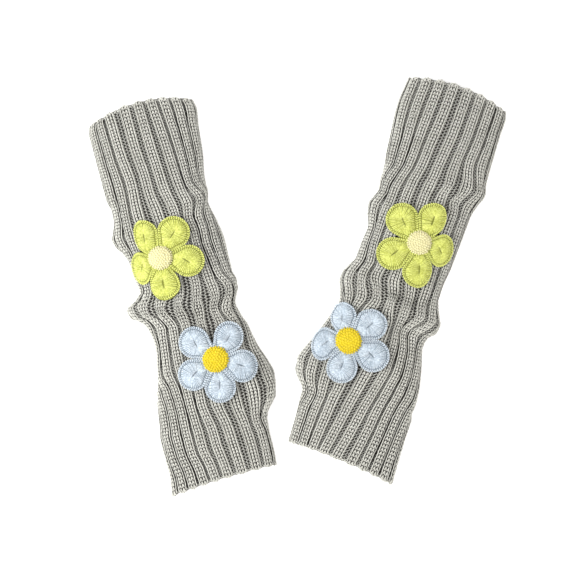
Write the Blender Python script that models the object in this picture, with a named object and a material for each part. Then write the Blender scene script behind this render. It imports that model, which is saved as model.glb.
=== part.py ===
"""A pair of long rib-knit arm warmers, each with two crocheted flowers on its front.

The pair lies side by side on a flat surface, fronts up, hand ends towards -Y. Each sleeve is
one soft ribbed tube: open at both ends, slit for the thumb in its inner side seam, flat where
it rests. A point of a sleeve is found from its place along the sleeve (0 at the upper-arm
end), its place across, and its height. Sizes are in millimetres until the meshes are made.
"""

import math
from collections import namedtuple

import bpy
import numpy as np

MM = 0.001

# The knitted wall
RIB_COUNT = 20
WALL = 2.0
RIB_RISE = 1.4
BASE_WALL = 2.6
RIB_FADE_HEIGHT = 4.0
VALLEY_HALF = 0.13
CREST_HALF = 0.23

# The section of a resting tube: a rounded top over a flat base
BELLY_SHARE = 0.40
FLAT_SHARE = 0.72
TOP_ROUNDNESS = 2.4
FOLD_SIDE_POWER = 1.5
NORMAL_REACH = 0.6
TOP_STEPS = 160
CORNER_STEPS = 24
BASE_STEPS = 24

# Ends and thumb slit
END_HALF = 45.0
END_FADE = 50.0
END_FADE_POWER = 1.5
SLIT_START = 266.0
SLIT_END = 293.0
SLIT_OPENING = 4.6
SLIT_FALLOFF = 9.0

# Flowers
SEWN_GAP = 0.6
SIDE_GAP = 1.2
DRAWN_FROM = 10.0
STACK_GAP = 0.3
PETAL_DISTANCE = 26.0
PETAL_RADIUS = 15.0
NOTCH_RADIUS = 17.0
SPOKE_SHARES = (-0.93, -0.72, -0.38, 0.0, 0.38, 0.72, 0.93)
PETAL_EDGE = 2.4
PETAL_DOME = 1.8
DOME_MARGIN = 0.4
DOME_RUN_IN = 6.0
CENTRE_RADIUS = 12.0
CENTRE_EDGE = 2.0
CENTRE_DOME = 1.4

# Rings of a layered disc: (share of its radius, share of its thickness), top to bottom
PETAL_SHARES = (
    (0.30, 1.0), (0.55, 1.0), (0.78, 1.0), (0.94, 0.86), (1.0, 0.45),
    (0.95, 0.0), (0.78, 0.0), (0.55, 0.0), (0.30, 0.0),
)
CENTRE_SHARES = ((0.5, 1.0), (0.86, 0.9), (1.0, 0.45), (0.9, 0.0), (0.5, 0.0))
CENTRE_SPOKES = 20

Section = namedtuple("Section", "along left right crown")
Ribs = namedtuple("Ribs", "along second fourth sixth first last")
RibsRight = namedtuple("RibsRight", "along third fifth seventh first last")
Fold = namedtuple("Fold", "along across turn reach above below rise")
Edge = namedtuple("Edge", "left middle right")
Flower = namedtuple("Flower", "colour centre along across left_share right_share petals")
Sleeve = namedtuple(
    "Sleeve",
    "side start turn sections ribs tracked folds upper_edge hand_edge seam_rib thumb_side "
    "fine_ribs flowers",
)

LEFT_SLEEVE = Sleeve(
    side="left",
    start=(-140.7, 158.7),
    turn=12.7,
    sections=(
        Section(0, -49.0, 48.0, 20.0),
        Section(7, -51.0, 49.5, 20.5),
        Section(22, -50.5, 48.0, 21.5),
        Section(50, -49.5, 46.0, 23.0),
        Section(72, -48.5, 43.0, 24.0),
        Section(83, -46.0, 43.0, 24.5),
        Section(93, -46.5, 41.0, 24.5),
        Section(101, -49.0, 42.5, 25.0),
        Section(108, -51.5, 44.5, 25.0),
        Section(115, -49.5, 46.0, 25.0),
        Section(122, -44.5, 47.5, 24.5),
        Section(131, -41.0, 48.5, 24.0),
        Section(147, -39.5, 48.5, 24.0),
        Section(158, -37.0, 48.5, 24.0),
        Section(165, -42.5, 50.5, 24.0),
        Section(172, -52.5, 51.0, 24.5),
        Section(179, -51.0, 48.0, 24.5),
        Section(187, -41.0, 45.0, 24.0),
        Section(196, -36.5, 47.0, 24.0),
        Section(209, -34.5, 52.0, 24.0),
        Section(228, -37.0, 56.5, 24.5),
        Section(244, -40.0, 62.5, 24.5),
        Section(256, -43.5, 65.5, 24.0),
        Section(SLIT_START, -45.0, 65.5, 23.5),
        Section(275, -46.0, 64.5, 23.0),
        Section(284, -47.0, 58.5, 22.5),
        Section(SLIT_END, -48.5, 51.0, 22.0),
        Section(309, -48.0, 49.5, 21.0),
        Section(324, -47.5, 50.0, 20.5),
        Section(338.5, -50.0, 49.5, 20.0),
    ),
    ribs=(
        Ribs(0, -34.5, -7.5, 16.5, -0.4, 9.3),
        Ribs(36, -32.0, -5.5, 21.0, -0.4, 9.3),
        Ribs(72, -29.0, -2.5, 24.0, -0.5, 9.2),
        Ribs(90, -29.5, 1.5, 27.0, -0.5, 8.3),
        Ribs(108, -28.0, 3.5, 28.0, -0.6, 8.6),
        Ribs(135, -26.0, 5.5, 29.5, -0.2, 8.9),
        Ribs(162, -24.5, 6.5, 32.5, 0.2, 8.6),
        Ribs(180, -29.0, 3.5, 37.0, -0.3, 7.6),
        Ribs(198, -20.5, 4.0, 33.5, 0.1, 7.7),
        Ribs(234, -22.5, 3.5, 33.5, 0.2, 8.2),
        Ribs(252, -20.0, 3.0, 34.0, -0.9, 8.2),
        Ribs(268, -19.0, 3.0, 34.5, -1.4, 8.0),
        Ribs(293, -18.5, 6.5, 35.0, -1.5, 8.0),
        Ribs(308, -18.0, 7.5, 37.0, -1.6, 7.5),
        Ribs(324, -14.5, 9.5, 37.5, -1.8, 7.5),
        Ribs(338.5, -12.5, 11.0, 37.5, -2.0, 7.5),
    ),
    tracked=(2, 4, 6),
    folds=(
        Fold(82, 36, -15, 13, 7, 4.5, 2.2),
        Fold(82, -5, -25, 40, 12, 12, -1.8),
        Fold(107, -43, 15, 10, 7, 6, 1.4),
        Fold(116, -41, 40, 11, 6, 6, -1.4),
        Fold(174, -18, 3, 40, 5.5, 9, 4.0),
        Fold(166, -28, 8, 14, 5, 5, -1.8),
        Fold(188, 12, 8, 27, 7, 9, -2.8),
        Fold(169, 42, -12, 12, 7, 6, 2.0),
        Fold(258, 44, 60, 20, 11, 11, 1.5),
    ),
    upper_edge=Edge(2.5, -7.5, 0.0),
    hand_edge=Edge(4.5, -0.5, -2.0),
    seam_rib=8,
    thumb_side="right",
    fine_ribs=(-3, 10),
    flowers=(
        Flower("green", "cream", 132.8, -11.3, 0.57, 1.0, (-95.0, -19.0, 50.0, 117.0, 192.0)),
        Flower("blue", "yellow", 232.7, 16.7, 0.95, 0.93, (-93.0, -25.5, 46.5, 129.5, 201.5)),
    ),
)

RIGHT_SLEEVE = Sleeve(
    side="right",
    start=(141.9, 173.1),
    turn=-16.8,
    sections=(
        Section(0, -45.0, 49.0, 20.0),
        Section(7, -46.0, 50.5, 20.5),
        Section(22, -47.5, 50.0, 21.5),
        Section(50, -46.0, 50.0, 23.0),
        Section(68, -44.5, 50.5, 24.0),
        Section(79, -43.0, 52.5, 24.5),
        Section(90, -43.0, 48.5, 24.0),
        Section(101, -41.5, 45.5, 24.0),
        Section(108, -44.0, 45.0, 24.5),
        Section(115, -46.5, 44.5, 24.5),
        Section(124, -45.0, 44.0, 24.0),
        Section(137, -41.0, 43.0, 24.0),
        Section(151, -42.5, 42.0, 24.0),
        Section(166, -43.5, 40.0, 24.0),
        Section(174, -47.5, 39.5, 24.0),
        Section(181, -51.0, 39.5, 24.5),
        Section(188, -52.0, 41.5, 24.5),
        Section(195, -50.0, 44.5, 24.5),
        Section(203, -47.5, 47.5, 24.5),
        Section(210, -46.5, 46.5, 24.0),
        Section(217, -49.5, 40.5, 24.0),
        Section(226, -52.5, 38.5, 24.0),
        Section(242, -58.5, 42.0, 24.5),
        Section(256, -65.0, 45.0, 24.5),
        Section(SLIT_START, -68.5, 46.5, 24.0),
        Section(275, -69.0, 47.0, 23.5),
        Section(284, -65.0, 47.0, 23.0),
        Section(SLIT_END, -56.0, 47.5, 22.0),
        Section(309, -54.5, 47.0, 21.0),
        Section(324, -54.0, 47.0, 20.5),
        Section(341, -54.0, 47.5, 20.0),
    ),
    ribs=(
        RibsRight(0, -10.0, 16.5, 39.0, -0.3, 8.6),
        RibsRight(36, -13.0, 14.5, 37.5, -0.4, 8.6),
        RibsRight(54, -14.0, 12.5, 36.0, -0.5, 8.6),
        RibsRight(72, -16.5, 10.0, 38.0, -0.5, 8.6),
        RibsRight(86, -20.0, 7.5, 37.5, 0.0, 8.6),
        RibsRight(108, -22.5, 6.5, 34.5, 0.5, 8.6),
        RibsRight(144, -26.5, 4.0, 32.5, 0.6, 8.5),
        RibsRight(171, -24.5, 3.0, 32.0, 0.6, 8.6),
        RibsRight(198, -24.5, 4.5, 30.5, 0.2, 8.5),
        RibsRight(216, -28.0, 7.0, 24.5, 0.0, 9.0),
        RibsRight(252, -31.5, 4.5, 27.0, 0.0, 9.5),
        RibsRight(270, -31.5, 0.0, 24.0, 0.0, 9.6),
        RibsRight(293, -32.5, -4.5, 19.5, 0.0, 10.3),
        RibsRight(308, -34.0, -7.5, 17.5, 0.6, 10.5),
        RibsRight(341, -36.5, -15.0, 11.5, 0.7, 10.7),
    ),
    tracked=(3, 5, 7),
    folds=(
        Fold(78, 42, -15, 13, 8, 5, 2.5),
        Fold(87, 36, -30, 13, 5, 6, -2.0),
        Fold(74, 10, 27, 24, 9, 9, 1.8),
        Fold(100, -34, 0, 13, 7, 6, -1.4),
        Fold(115, -36, 0, 14, 8, 8, 1.6),
        Fold(187, -40, 5, 18, 8, 7, 3.0),
        Fold(174, -24, 20, 11, 6, 6, -2.0),
        Fold(197, 15, -4, 24, 6, 7, 3.2),
        Fold(204, 38, -15, 12, 6, 6, 2.0),
        Fold(213, 31, -42, 14, 6, 6, -2.4),
        Fold(186, 8, 0, 22, 7, 6, -1.6),
        Fold(260, -48, -60, 20, 11, 11, 1.5),
    ),
    upper_edge=Edge(-2.0, -8.0, 1.0),
    hand_edge=Edge(0.0, 3.0, 9.5),
    seam_rib=0,
    thumb_side="left",
    fine_ribs=(-1, 11),
    flowers=(
        Flower("green", "cream", 136.8, 7.2, 1.0, 0.68, (-74.5, -2.5, 76.0, 143.0, 219.5)),
        Flower("blue", "yellow", 239.4, -27.9, 0.74, 1.0, (-88.0, -14.5, 52.5, 122.0, 201.0)),
    ),
)

COLOURS = {
    "grey": (0.38, 0.37, 0.34),
    "green": (0.60, 0.68, 0.12),
    "blue": (0.58, 0.68, 0.84),
    "cream": (0.90, 0.86, 0.48),
    "yellow": (0.92, 0.68, 0.02),
}


def smooth(place, places, values):
    """A cubic through the points (places, values) that never overshoots them."""
    places = np.asarray(places, float)
    values = np.asarray(values, float)
    steps = np.diff(places)
    rises = np.diff(values) / steps
    slopes = np.empty_like(values)
    product = rises[:-1] * rises[1:]
    total = rises[:-1] + rises[1:]
    slopes[1:-1] = np.where(product > 0, 2 * product / np.where(total == 0, 1, total), 0)
    slopes[0] = rises[0]
    slopes[-1] = rises[-1]
    place = np.clip(place, places[0], places[-1])
    i = np.clip(np.searchsorted(places, place) - 1, 0, len(steps) - 1)
    t = (place - places[i]) / steps[i]
    start = (1 + 2 * t) * (1 - t) ** 2 * values[i] + t * (1 - t) ** 2 * steps[i] * slopes[i]
    end = t * t * (3 - 2 * t) * values[i + 1] + t * t * (t - 1) * steps[i] * slopes[i + 1]
    return start + end


def column(rows, name):
    """One named column of a table, as an array."""
    return np.array([getattr(row, name) for row in rows], float)


def read(rows, name, along):
    """A table's named column, read smoothly at a place along the sleeve."""
    return smooth(along, column(rows, "along"), column(rows, name))


def fold_height(sleeve, along, across):
    """Sum of the folds: soft ridges and troughs, each steeper on one side than the other."""
    height = np.zeros(np.broadcast(along, across).shape)
    for fold in sleeve.folds:
        turn = math.radians(fold.turn)
        right = across - fold.across
        down = along - fold.along
        lengthwise = right * math.cos(turn) + down * math.sin(turn)
        sidewise = down * math.cos(turn) - right * math.sin(turn)
        width = np.where(sidewise < 0, fold.above, fold.below)
        height = height + fold.rise * np.exp(-((lengthwise / fold.reach) ** 2) - (sidewise / width) ** 2)
    return height


def section_curve(sleeve, along, inset=0.0, base=0.0):
    """The closed outline of one section, as (across, height) points.

    It starts at the left edge, goes over the top to the right edge and back along the base.
    The top is a superellipse, the two lower corners are quarter ellipses, the base is flat.
    """
    left = read(sleeve.sections, "left", along)
    right = read(sleeve.sections, "right", along)
    crown = read(sleeve.sections, "crown", along)
    half = (right - left) / 2 - inset
    middle = (left + right) / 2
    belly = BELLY_SHARE * crown
    flat = FLAT_SHARE * (right - left) / 2

    angle = np.linspace(math.pi, 0, TOP_STEPS)
    power = 2 / TOP_ROUNDNESS
    top_across = half * np.sign(np.cos(angle)) * np.abs(np.cos(angle)) ** power
    share = np.sin(angle) ** power
    share[0] = 0
    share[-1] = 0
    top_height = belly + (crown - inset - belly) * share
    folds = fold_height(sleeve, along, top_across + middle)
    top_height = top_height + folds * share**FOLD_SIDE_POWER

    corner = np.linspace(0, math.pi / 2, CORNER_STEPS)[1:]
    corner_across = flat + (half - flat) * np.cos(corner)
    corner_height = belly - (belly - base) * np.sin(corner)
    base_across = np.linspace(flat, -flat, BASE_STEPS)[1:-1]
    base_height = np.full(len(base_across), base)

    across = np.concatenate((top_across, corner_across, base_across, -corner_across[::-1]))
    height = np.concatenate((top_height, corner_height, base_height, corner_height[::-1]))
    across = np.append(across, across[0]) + middle
    height = np.append(height, height[0])
    arc = np.append(0, np.cumsum(np.hypot(np.diff(across), np.diff(height))))
    return across, height, arc


def lofted_curve(sleeve, along):
    """The outline between two sections of the sleeve, on the straight loft that joins them."""
    places = column(sleeve.sections, "along")
    i = int(np.clip(np.searchsorted(places, along) - 1, 0, len(places) - 2))
    t = (along - places[i]) / (places[i + 1] - places[i])
    near = section_curve(sleeve, places[i])
    far = section_curve(sleeve, places[i + 1])
    across = (1 - t) * near[0] + t * far[0]
    height = (1 - t) * near[1] + t * far[1]
    arc = np.append(0, np.cumsum(np.hypot(np.diff(across), np.diff(height))))
    return across, height, arc


def at_arc(curve, place, lift=0.0):
    """Points of a section curve at given arcs, moved out along its normal by lift."""
    across, height, arc = curve
    place = np.mod(place, arc[-1])
    before = np.mod(place - NORMAL_REACH, arc[-1])
    after = np.mod(place + NORMAL_REACH, arc[-1])
    run_across = np.interp(after, arc, across) - np.interp(before, arc, across)
    run_height = np.interp(after, arc, height) - np.interp(before, arc, height)
    length = np.hypot(run_across, run_height)
    out_across = np.interp(place, arc, across) - lift * run_height / length
    out_height = np.interp(place, arc, height) + lift * run_across / length
    return out_across, out_height


def top_arc(curve, across):
    """The arc at which the top of a section curve crosses a place across."""
    top = slice(0, TOP_STEPS)
    return np.interp(across, curve[0][top], curve[2][top])


def rib_arcs(sleeve, along, curve, ribs):
    """The arcs of given rib numbers round one section.

    Three tracked ribs and the two edges are known from the table of ribs. The ribs between
    them, and those of the base, are spaced by a smooth curve through these.
    """
    names = sleeve.ribs[0]._fields[1:4]
    tracks = [float(read(sleeve.ribs, name, along)) for name in names]
    first = float(read(sleeve.ribs, "first", along))
    last = float(read(sleeve.ribs, "last", along))
    right_arc = curve[2][TOP_STEPS - 1]
    around = curve[2][-1]
    known = [first, *sleeve.tracked, last]
    arcs = [0.0, *(float(top_arc(curve, track)) for track in tracks), right_arc]
    known = known + [first + RIB_COUNT] + [rib + RIB_COUNT for rib in known[1:]]
    arcs = arcs + [around] + [arc + around for arc in arcs[1:]]
    wrapped = first + np.mod(np.asarray(ribs, float) - first, RIB_COUNT)
    return np.mod(smooth(wrapped, known, arcs), around)


def slit_spread(sleeve, along, curve, arcs):
    """The arcs near the thumb slit, moved apart so that the slit stands open."""
    opening = SLIT_OPENING if SLIT_START < along < SLIT_END else 0.0
    seam = 0.0 if sleeve.thumb_side == "left" else curve[2][TOP_STEPS - 1]
    around = curve[2][-1]
    away = np.mod(arcs - seam + around / 2, around) - around / 2
    moved = away + np.sign(away) * opening * np.exp(-np.abs(away) / SLIT_FALLOFF)
    return np.mod(seam + moved, around)


def end_shift(sleeve, along, across):
    """How far a point is moved along, so that the two ends run as their edges do."""
    length = sleeve.sections[-1].along
    shift = 0.0
    for edge, distance in ((sleeve.upper_edge, along), (sleeve.hand_edge, length - along)):
        fade = max(0.0, 1.0 - distance / END_FADE) ** END_FADE_POWER
        place = across / END_HALF
        bow = (edge.left + edge.right) / 2 - edge.middle
        tilt = (edge.right - edge.left) / 2
        shift = shift + fade * (edge.middle + tilt * place + bow * place**2)
    return shift


def placed(sleeve, along, across, height):
    """Points in the pair's own frame, in metres, from a sleeve's along, across and height."""
    turn = math.radians(sleeve.turn)
    x = sleeve.start[0] + along * math.sin(turn) + across * math.cos(turn)
    y = sleeve.start[1] - along * math.cos(turn) + across * math.sin(turn)
    return np.stack(np.broadcast_arrays(x, y, height), axis=-1) * MM


def rib_columns(sleeve):
    """Rib numbers of the outer mesh columns and how deep each lies in its valley.

    A rib that can show has four columns, two on its crest and two in its valley. A rib that
    always lies on the base has two.
    """
    low, high = sleeve.fine_ribs
    ribs = []
    depths = []
    for rib in range(low, low + RIB_COUNT):
        if rib < high:
            ribs += [rib - VALLEY_HALF, rib + VALLEY_HALF]
            ribs += [rib + 0.5 - CREST_HALF, rib + 0.5 + CREST_HALF]
            depths += [1.0, 1.0, 0.0, 0.0]
        else:
            ribs += [rib, rib + 0.5]
            depths += [1.0, 0.0]
    return np.array(ribs), np.array(depths)


def inner_columns(sleeve):
    """Rib numbers of the plain inner mesh: one a rib, and both sides of the thumb slit."""
    seam = sleeve.seam_rib
    low = sleeve.fine_ribs[0]
    ribs = [rib for rib in range(low, low + RIB_COUNT) if rib != seam]
    return np.array(sorted(ribs + [seam - VALLEY_HALF, seam + VALLEY_HALF]))


def sleeve_rings(sleeve):
    """Outer and inner ring points for each section, as two arrays (ring, column, xyz)."""
    outer_ribs, depths = rib_columns(sleeve)
    inner_ribs = inner_columns(sleeve)
    outer = []
    inner = []
    for section in sleeve.sections:
        along = section.along
        curve = section_curve(sleeve, along)
        arcs = slit_spread(sleeve, along, curve, rib_arcs(sleeve, along, curve, outer_ribs))
        height = at_arc(curve, arcs)[1]
        depth = RIB_RISE * depths * np.clip(height / RIB_FADE_HEIGHT, 0, 1)
        across, height = at_arc(curve, arcs, -depth)
        outer.append(placed(sleeve, along + end_shift(sleeve, along, across), across, height))

        curve = section_curve(sleeve, along, WALL + RIB_RISE, BASE_WALL)
        arcs = slit_spread(sleeve, along, curve, rib_arcs(sleeve, along, curve, inner_ribs))
        across, height = at_arc(curve, arcs)
        inner.append(placed(sleeve, along + end_shift(sleeve, along, across), across, height))
    return np.array(outer), np.array(inner), outer_ribs, inner_ribs


def rim_faces(outer_ids, outer_ribs, inner_ids, inner_ribs):
    """Triangles that close one end of the wall between its outer and its inner ring."""
    faces = []
    i = 0
    j = 0
    outer_count = len(outer_ids)
    inner_count = len(inner_ids)
    outer_next = np.append(outer_ribs[1:], outer_ribs[0] + RIB_COUNT)
    inner_next = np.append(inner_ribs[1:], inner_ribs[0] + RIB_COUNT)
    while i < outer_count or j < inner_count:
        step_outer = j == inner_count or (i < outer_count and outer_next[i] <= inner_next[j])
        a = outer_ids[i % outer_count]
        b = inner_ids[j % inner_count]
        if step_outer:
            faces.append((a, outer_ids[(i + 1) % outer_count], b))
            i += 1
        else:
            faces.append((a, inner_ids[(j + 1) % inner_count], b))
            j += 1
    return faces


def wall_faces(ids, hole_column, hole_bands):
    """Quads of one side of the wall, all round each band, less those of the thumb slit."""
    rings, columns = ids.shape
    faces = []
    for ring in range(rings - 1):
        for col in range(columns):
            if col == hole_column and ring in hole_bands:
                continue
            beside = (col + 1) % columns
            faces.append((ids[ring, col], ids[ring + 1, col], ids[ring + 1, beside], ids[ring, beside]))
    return faces


def sleeve_mesh(sleeve):
    """Points and faces of one sleeve's closed wall."""
    outer, inner, outer_ribs, inner_ribs = sleeve_rings(sleeve)
    rings, outer_count = outer.shape[:2]
    inner_count = inner.shape[1]
    outer_ids = np.arange(rings * outer_count).reshape(rings, outer_count)
    inner_ids = np.arange(rings * inner_count).reshape(rings, inner_count) + outer_ids.size

    slit_rings = [i for i, row in enumerate(sleeve.sections) if SLIT_START <= row.along <= SLIT_END]
    bands = slit_rings[:-1]
    outer_hole = int(np.argmin(np.abs(outer_ribs - (sleeve.seam_rib - VALLEY_HALF))))
    inner_hole = int(np.argmin(np.abs(inner_ribs - (sleeve.seam_rib - VALLEY_HALF))))

    faces = wall_faces(outer_ids, outer_hole, bands)
    faces += [face[::-1] for face in wall_faces(inner_ids, inner_hole, bands)]
    for outer_col, inner_col, flip in (
        (outer_hole, inner_hole, False),
        (outer_hole + 1, inner_hole + 1, True),
    ):
        for ring in bands:
            lip = (
                outer_ids[ring, outer_col],
                outer_ids[ring + 1, outer_col],
                inner_ids[ring + 1, inner_col],
                inner_ids[ring, inner_col],
            )
            faces.append(lip[::-1] if flip else lip)
    for ring, flip in ((slit_rings[0], True), (slit_rings[-1], False)):
        end = (
            outer_ids[ring, outer_hole],
            outer_ids[ring, outer_hole + 1],
            inner_ids[ring, inner_hole + 1],
            inner_ids[ring, inner_hole],
        )
        faces.append(end[::-1] if flip else end)

    faces += rim_faces(outer_ids[0], outer_ribs, inner_ids[0], inner_ribs)
    hand_rim = rim_faces(outer_ids[-1], outer_ribs, inner_ids[-1], inner_ribs)
    faces += [face[::-1] for face in hand_rim]
    points = np.concatenate((outer.reshape(-1, 3), inner.reshape(-1, 3)))
    return points, faces


def petal_spokes(flower):
    """Spoke angles and outline radii of a flower: seven on each petal, one in each notch."""
    widest = math.degrees(math.asin(PETAL_RADIUS / PETAL_DISTANCE))
    angles = []
    radii = []
    petals = flower.petals
    for i, petal in enumerate(petals):
        before = petals[i - 1] - (360.0 if i == 0 else 0.0)
        after = petals[(i + 1) % len(petals)] + (360.0 if i + 1 == len(petals) else 0.0)
        for share in SPOKE_SHARES:
            half_gap = (petal - before if share < 0 else after - petal) / 2
            offset = math.radians(share * min(half_gap, widest))
            aside = PETAL_DISTANCE * math.sin(offset)
            ahead = PETAL_DISTANCE * math.cos(offset)
            angles.append(math.radians(petal) + offset)
            radii.append(ahead + math.sqrt(PETAL_RADIUS**2 - aside**2))
        angles.append(math.radians(petal + after) / 2)
        radii.append(NOTCH_RADIUS)
    return np.array(angles), np.array(radii)


def petal_thickness(flower, right, up):
    """Thickness of the petals: an even crochet layer, domed over each petal."""
    thickness = np.full(np.shape(right), PETAL_EDGE)
    for petal in flower.petals:
        angle = math.radians(petal)
        from_middle = np.hypot(
            right - PETAL_DISTANCE * math.cos(angle), up - PETAL_DISTANCE * math.sin(angle)
        )
        clear = np.clip((np.hypot(right, up) - CENTRE_RADIUS - DOME_MARGIN) / DOME_RUN_IN, 0, 1)
        dome = PETAL_DOME * clear * np.clip(1 - (from_middle / PETAL_RADIUS) ** 2, 0, 1)
        thickness = np.maximum(thickness, PETAL_EDGE + dome)
    return thickness


def on_sleeve(sleeve, flower, right, up, lift):
    """Points of a piece sewn on a sleeve: laid out round its middle, then wrapped over it.

    Past the flower's centre, the parts towards a rounded side are drawn in by its share.
    """
    share = np.where(right < 0, flower.left_share, flower.right_share)
    far = np.maximum(np.abs(right) - DRAWN_FROM, 0)
    right = right - np.sign(right) * far * (1 - share)
    points = np.empty((len(right), 3))
    for i in range(len(right)):
        along = flower.along - up[i]
        curve = lofted_curve(sleeve, along)
        arc = top_arc(curve, flower.across) + right[i]
        across, height = at_arc(curve, arc)
        out_across, out_height = at_arc(curve, arc, 1.0)
        rise = lift[i] + SIDE_GAP * (1 - (out_height - height))
        across = across + rise * (out_across - across)
        height = height + rise * (out_height - height)
        points[i] = placed(sleeve, along, across, height)
    return points


def layered_disc(angles, radii, shares, place):
    """A closed disc of rings round a middle point: top rings, an edge, then bottom rings.

    shares lists (share of the radius, share of the thickness) from the top's middle outwards
    and back to the bottom's middle. place turns right, up and a thickness share into points.
    """
    rings = []
    for share, level in shares:
        right = share * radii * np.cos(angles)
        up = share * radii * np.sin(angles)
        rings.append(place(right, up, level))
    top = place(np.zeros(1), np.zeros(1), 1.0)
    bottom = place(np.zeros(1), np.zeros(1), 0.0)
    count = len(angles)
    ids = np.arange(len(rings) * count).reshape(len(rings), count)
    faces = []
    for ring in range(len(rings) - 1):
        for spoke in range(count):
            beside = (spoke + 1) % count
            faces.append((ids[ring, spoke], ids[ring + 1, spoke], ids[ring + 1, beside], ids[ring, beside]))
    for spoke in range(count):
        beside = (spoke + 1) % count
        faces.append((ids[0, spoke], ids[0, beside], ids.size))
        faces.append((ids[-1, beside], ids[-1, spoke], ids.size + 1))
    return np.concatenate((*rings, top, bottom)), faces


def petals_mesh(sleeve, flower):
    """Points and faces of a flower's five petals, worked in one piece."""
    angles, radii = petal_spokes(flower)

    def place(right, up, level):
        lift = SEWN_GAP + level * petal_thickness(flower, right, up)
        return on_sleeve(sleeve, flower, right, up, lift)

    return layered_disc(angles, radii, PETAL_SHARES, place)


def centre_mesh(sleeve, flower):
    """Points and faces of the round centre that lies on a flower's petals."""
    angles = np.linspace(0, 2 * math.pi, CENTRE_SPOKES, endpoint=False)

    def place(right, up, level):
        from_middle = np.hypot(right, up) / CENTRE_RADIUS
        thickness = CENTRE_EDGE + CENTRE_DOME * (1 - from_middle**2)
        under = SEWN_GAP + petal_thickness(flower, right, up) + STACK_GAP
        return on_sleeve(sleeve, flower, right, up, under + level * thickness)

    radii = np.full(CENTRE_SPOKES, CENTRE_RADIUS)
    return layered_disc(angles, radii, CENTRE_SHARES, place)


def make_material(name, colour, roughness):
    """A plain Principled material."""
    material = bpy.data.materials.new(name)
    material.use_nodes = True
    shader = material.node_tree.nodes["Principled BSDF"]
    shader.inputs["Base Color"].default_value = (*colour, 1.0)
    shader.inputs["Roughness"].default_value = roughness
    shader.inputs["Metallic"].default_value = 0.0
    return material


def make_object(name, points, faces, material, collection):
    """One closed mesh object from its points and faces."""
    mesh = bpy.data.meshes.new(name)
    mesh.from_pydata(points.tolist(), [], [tuple(int(i) for i in face) for face in faces])
    mesh.validate()
    mesh.materials.append(material)
    mesh.shade_smooth()
    collection.objects.link(bpy.data.objects.new(name, mesh))


def clear_scene():
    """Remove every object that the scene holds."""
    for item in list(bpy.data.objects):
        bpy.data.objects.remove(item, do_unlink=True)


def main():
    """Build the pair: two sleeves, and on each a green and a blue flower."""
    clear_scene()
    collection = bpy.data.collections.new("arm_warmers")
    bpy.context.scene.collection.children.link(collection)
    materials = {name: make_material(name + "_yarn", rgb, 0.9) for name, rgb in COLOURS.items()}
    for sleeve in (LEFT_SLEEVE, RIGHT_SLEEVE):
        make_object("sleeve_" + sleeve.side, *sleeve_mesh(sleeve), materials["grey"], collection)
        for flower in sleeve.flowers:
            petals_name = f"{flower.colour}_petals_{sleeve.side}"
            centre_name = f"{flower.centre}_centre_{sleeve.side}"
            petals = petals_mesh(sleeve, flower)
            centre = centre_mesh(sleeve, flower)
            make_object(petals_name, *petals, materials[flower.colour], collection)
            make_object(centre_name, *centre, materials[flower.centre], collection)


main()
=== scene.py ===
"""Looks of a pair of long rib-knit arm warmers with crocheted flowers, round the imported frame.

Each sleeve is a thin ribbed knit wall, dressed with its stitches: V-shaped knit stitches on the
ribs, purl stitches in the valleys, and a chain of stitches round each edge. Each flower is a
domed crochet layer with its stitches, and a nubbly round centre. A place on a sleeve is given
along it (0 at the upper-arm end) and round it, as a rib number. Sizes in tables are millimetres.
"""

import math
from collections import namedtuple

import bpy
import numpy as np
from bpy.props import FloatProperty, FloatVectorProperty, IntProperty, PointerProperty
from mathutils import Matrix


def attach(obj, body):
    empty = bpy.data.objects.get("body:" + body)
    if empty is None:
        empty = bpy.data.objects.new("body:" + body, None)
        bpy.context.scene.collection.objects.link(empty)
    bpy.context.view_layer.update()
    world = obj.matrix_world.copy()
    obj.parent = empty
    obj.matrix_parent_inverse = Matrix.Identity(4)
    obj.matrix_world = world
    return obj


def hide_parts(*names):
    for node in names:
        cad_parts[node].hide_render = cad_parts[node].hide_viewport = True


bl_info = {
    "name": "Rib-knit arm warmers",
    "version": (1, 0, 0),
    "blender": (4, 5, 0),
    "location": "3D View > Sidebar > Arm warmers",
    "description": "Builds the knitted and crocheted pieces of a pair of arm warmers",
    "category": "Object",
}

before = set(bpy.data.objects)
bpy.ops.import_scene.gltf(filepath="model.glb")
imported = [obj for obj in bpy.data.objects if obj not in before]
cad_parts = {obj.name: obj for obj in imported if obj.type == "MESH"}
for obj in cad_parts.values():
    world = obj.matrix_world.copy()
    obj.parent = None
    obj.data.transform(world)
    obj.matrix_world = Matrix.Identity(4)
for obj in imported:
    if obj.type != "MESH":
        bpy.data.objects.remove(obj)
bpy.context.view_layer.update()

MM = 0.001
RIB_COUNT = 20

# The section of a resting tube: a rounded top over a flat base
BELLY_SHARE = 0.40
FLAT_SHARE = 0.72
TOP_ROUNDNESS = 2.4
FOLD_SIDE_POWER = 1.5
TOP_STEPS = 240
CORNER_STEPS = 30
BASE_STEPS = 40

# The knitted wall
WALL_INSET = 3.4
BASE_WALL = 2.6
LEAST_WALL = 0.8

# The ends and the thumb slit
END_HALF = 45.0
END_FADE = 50.0
END_FADE_POWER = 1.5
THUMB_START = 266.0
THUMB_END = 293.0
THUMB_OPENING = 4.6
THUMB_FALLOFF = 9.0

# Tables that a sleeve's face is read from
TABLE_STEP = 1.0
TABLE_COLUMNS = 720
RIB_STEPS = 8
BEND_FADE = 14.0

# The ribs' own form
VALLEY_SLOPE = 0.08
CREST_ROUND = 0.35
SHUT_DEEPER = 1.0
OPEN_RISE = 0.9
RIB_FADE_HEIGHT = 4.0
SCALLOP = 1.0
SCALLOP_REACH = 8.0

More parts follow.
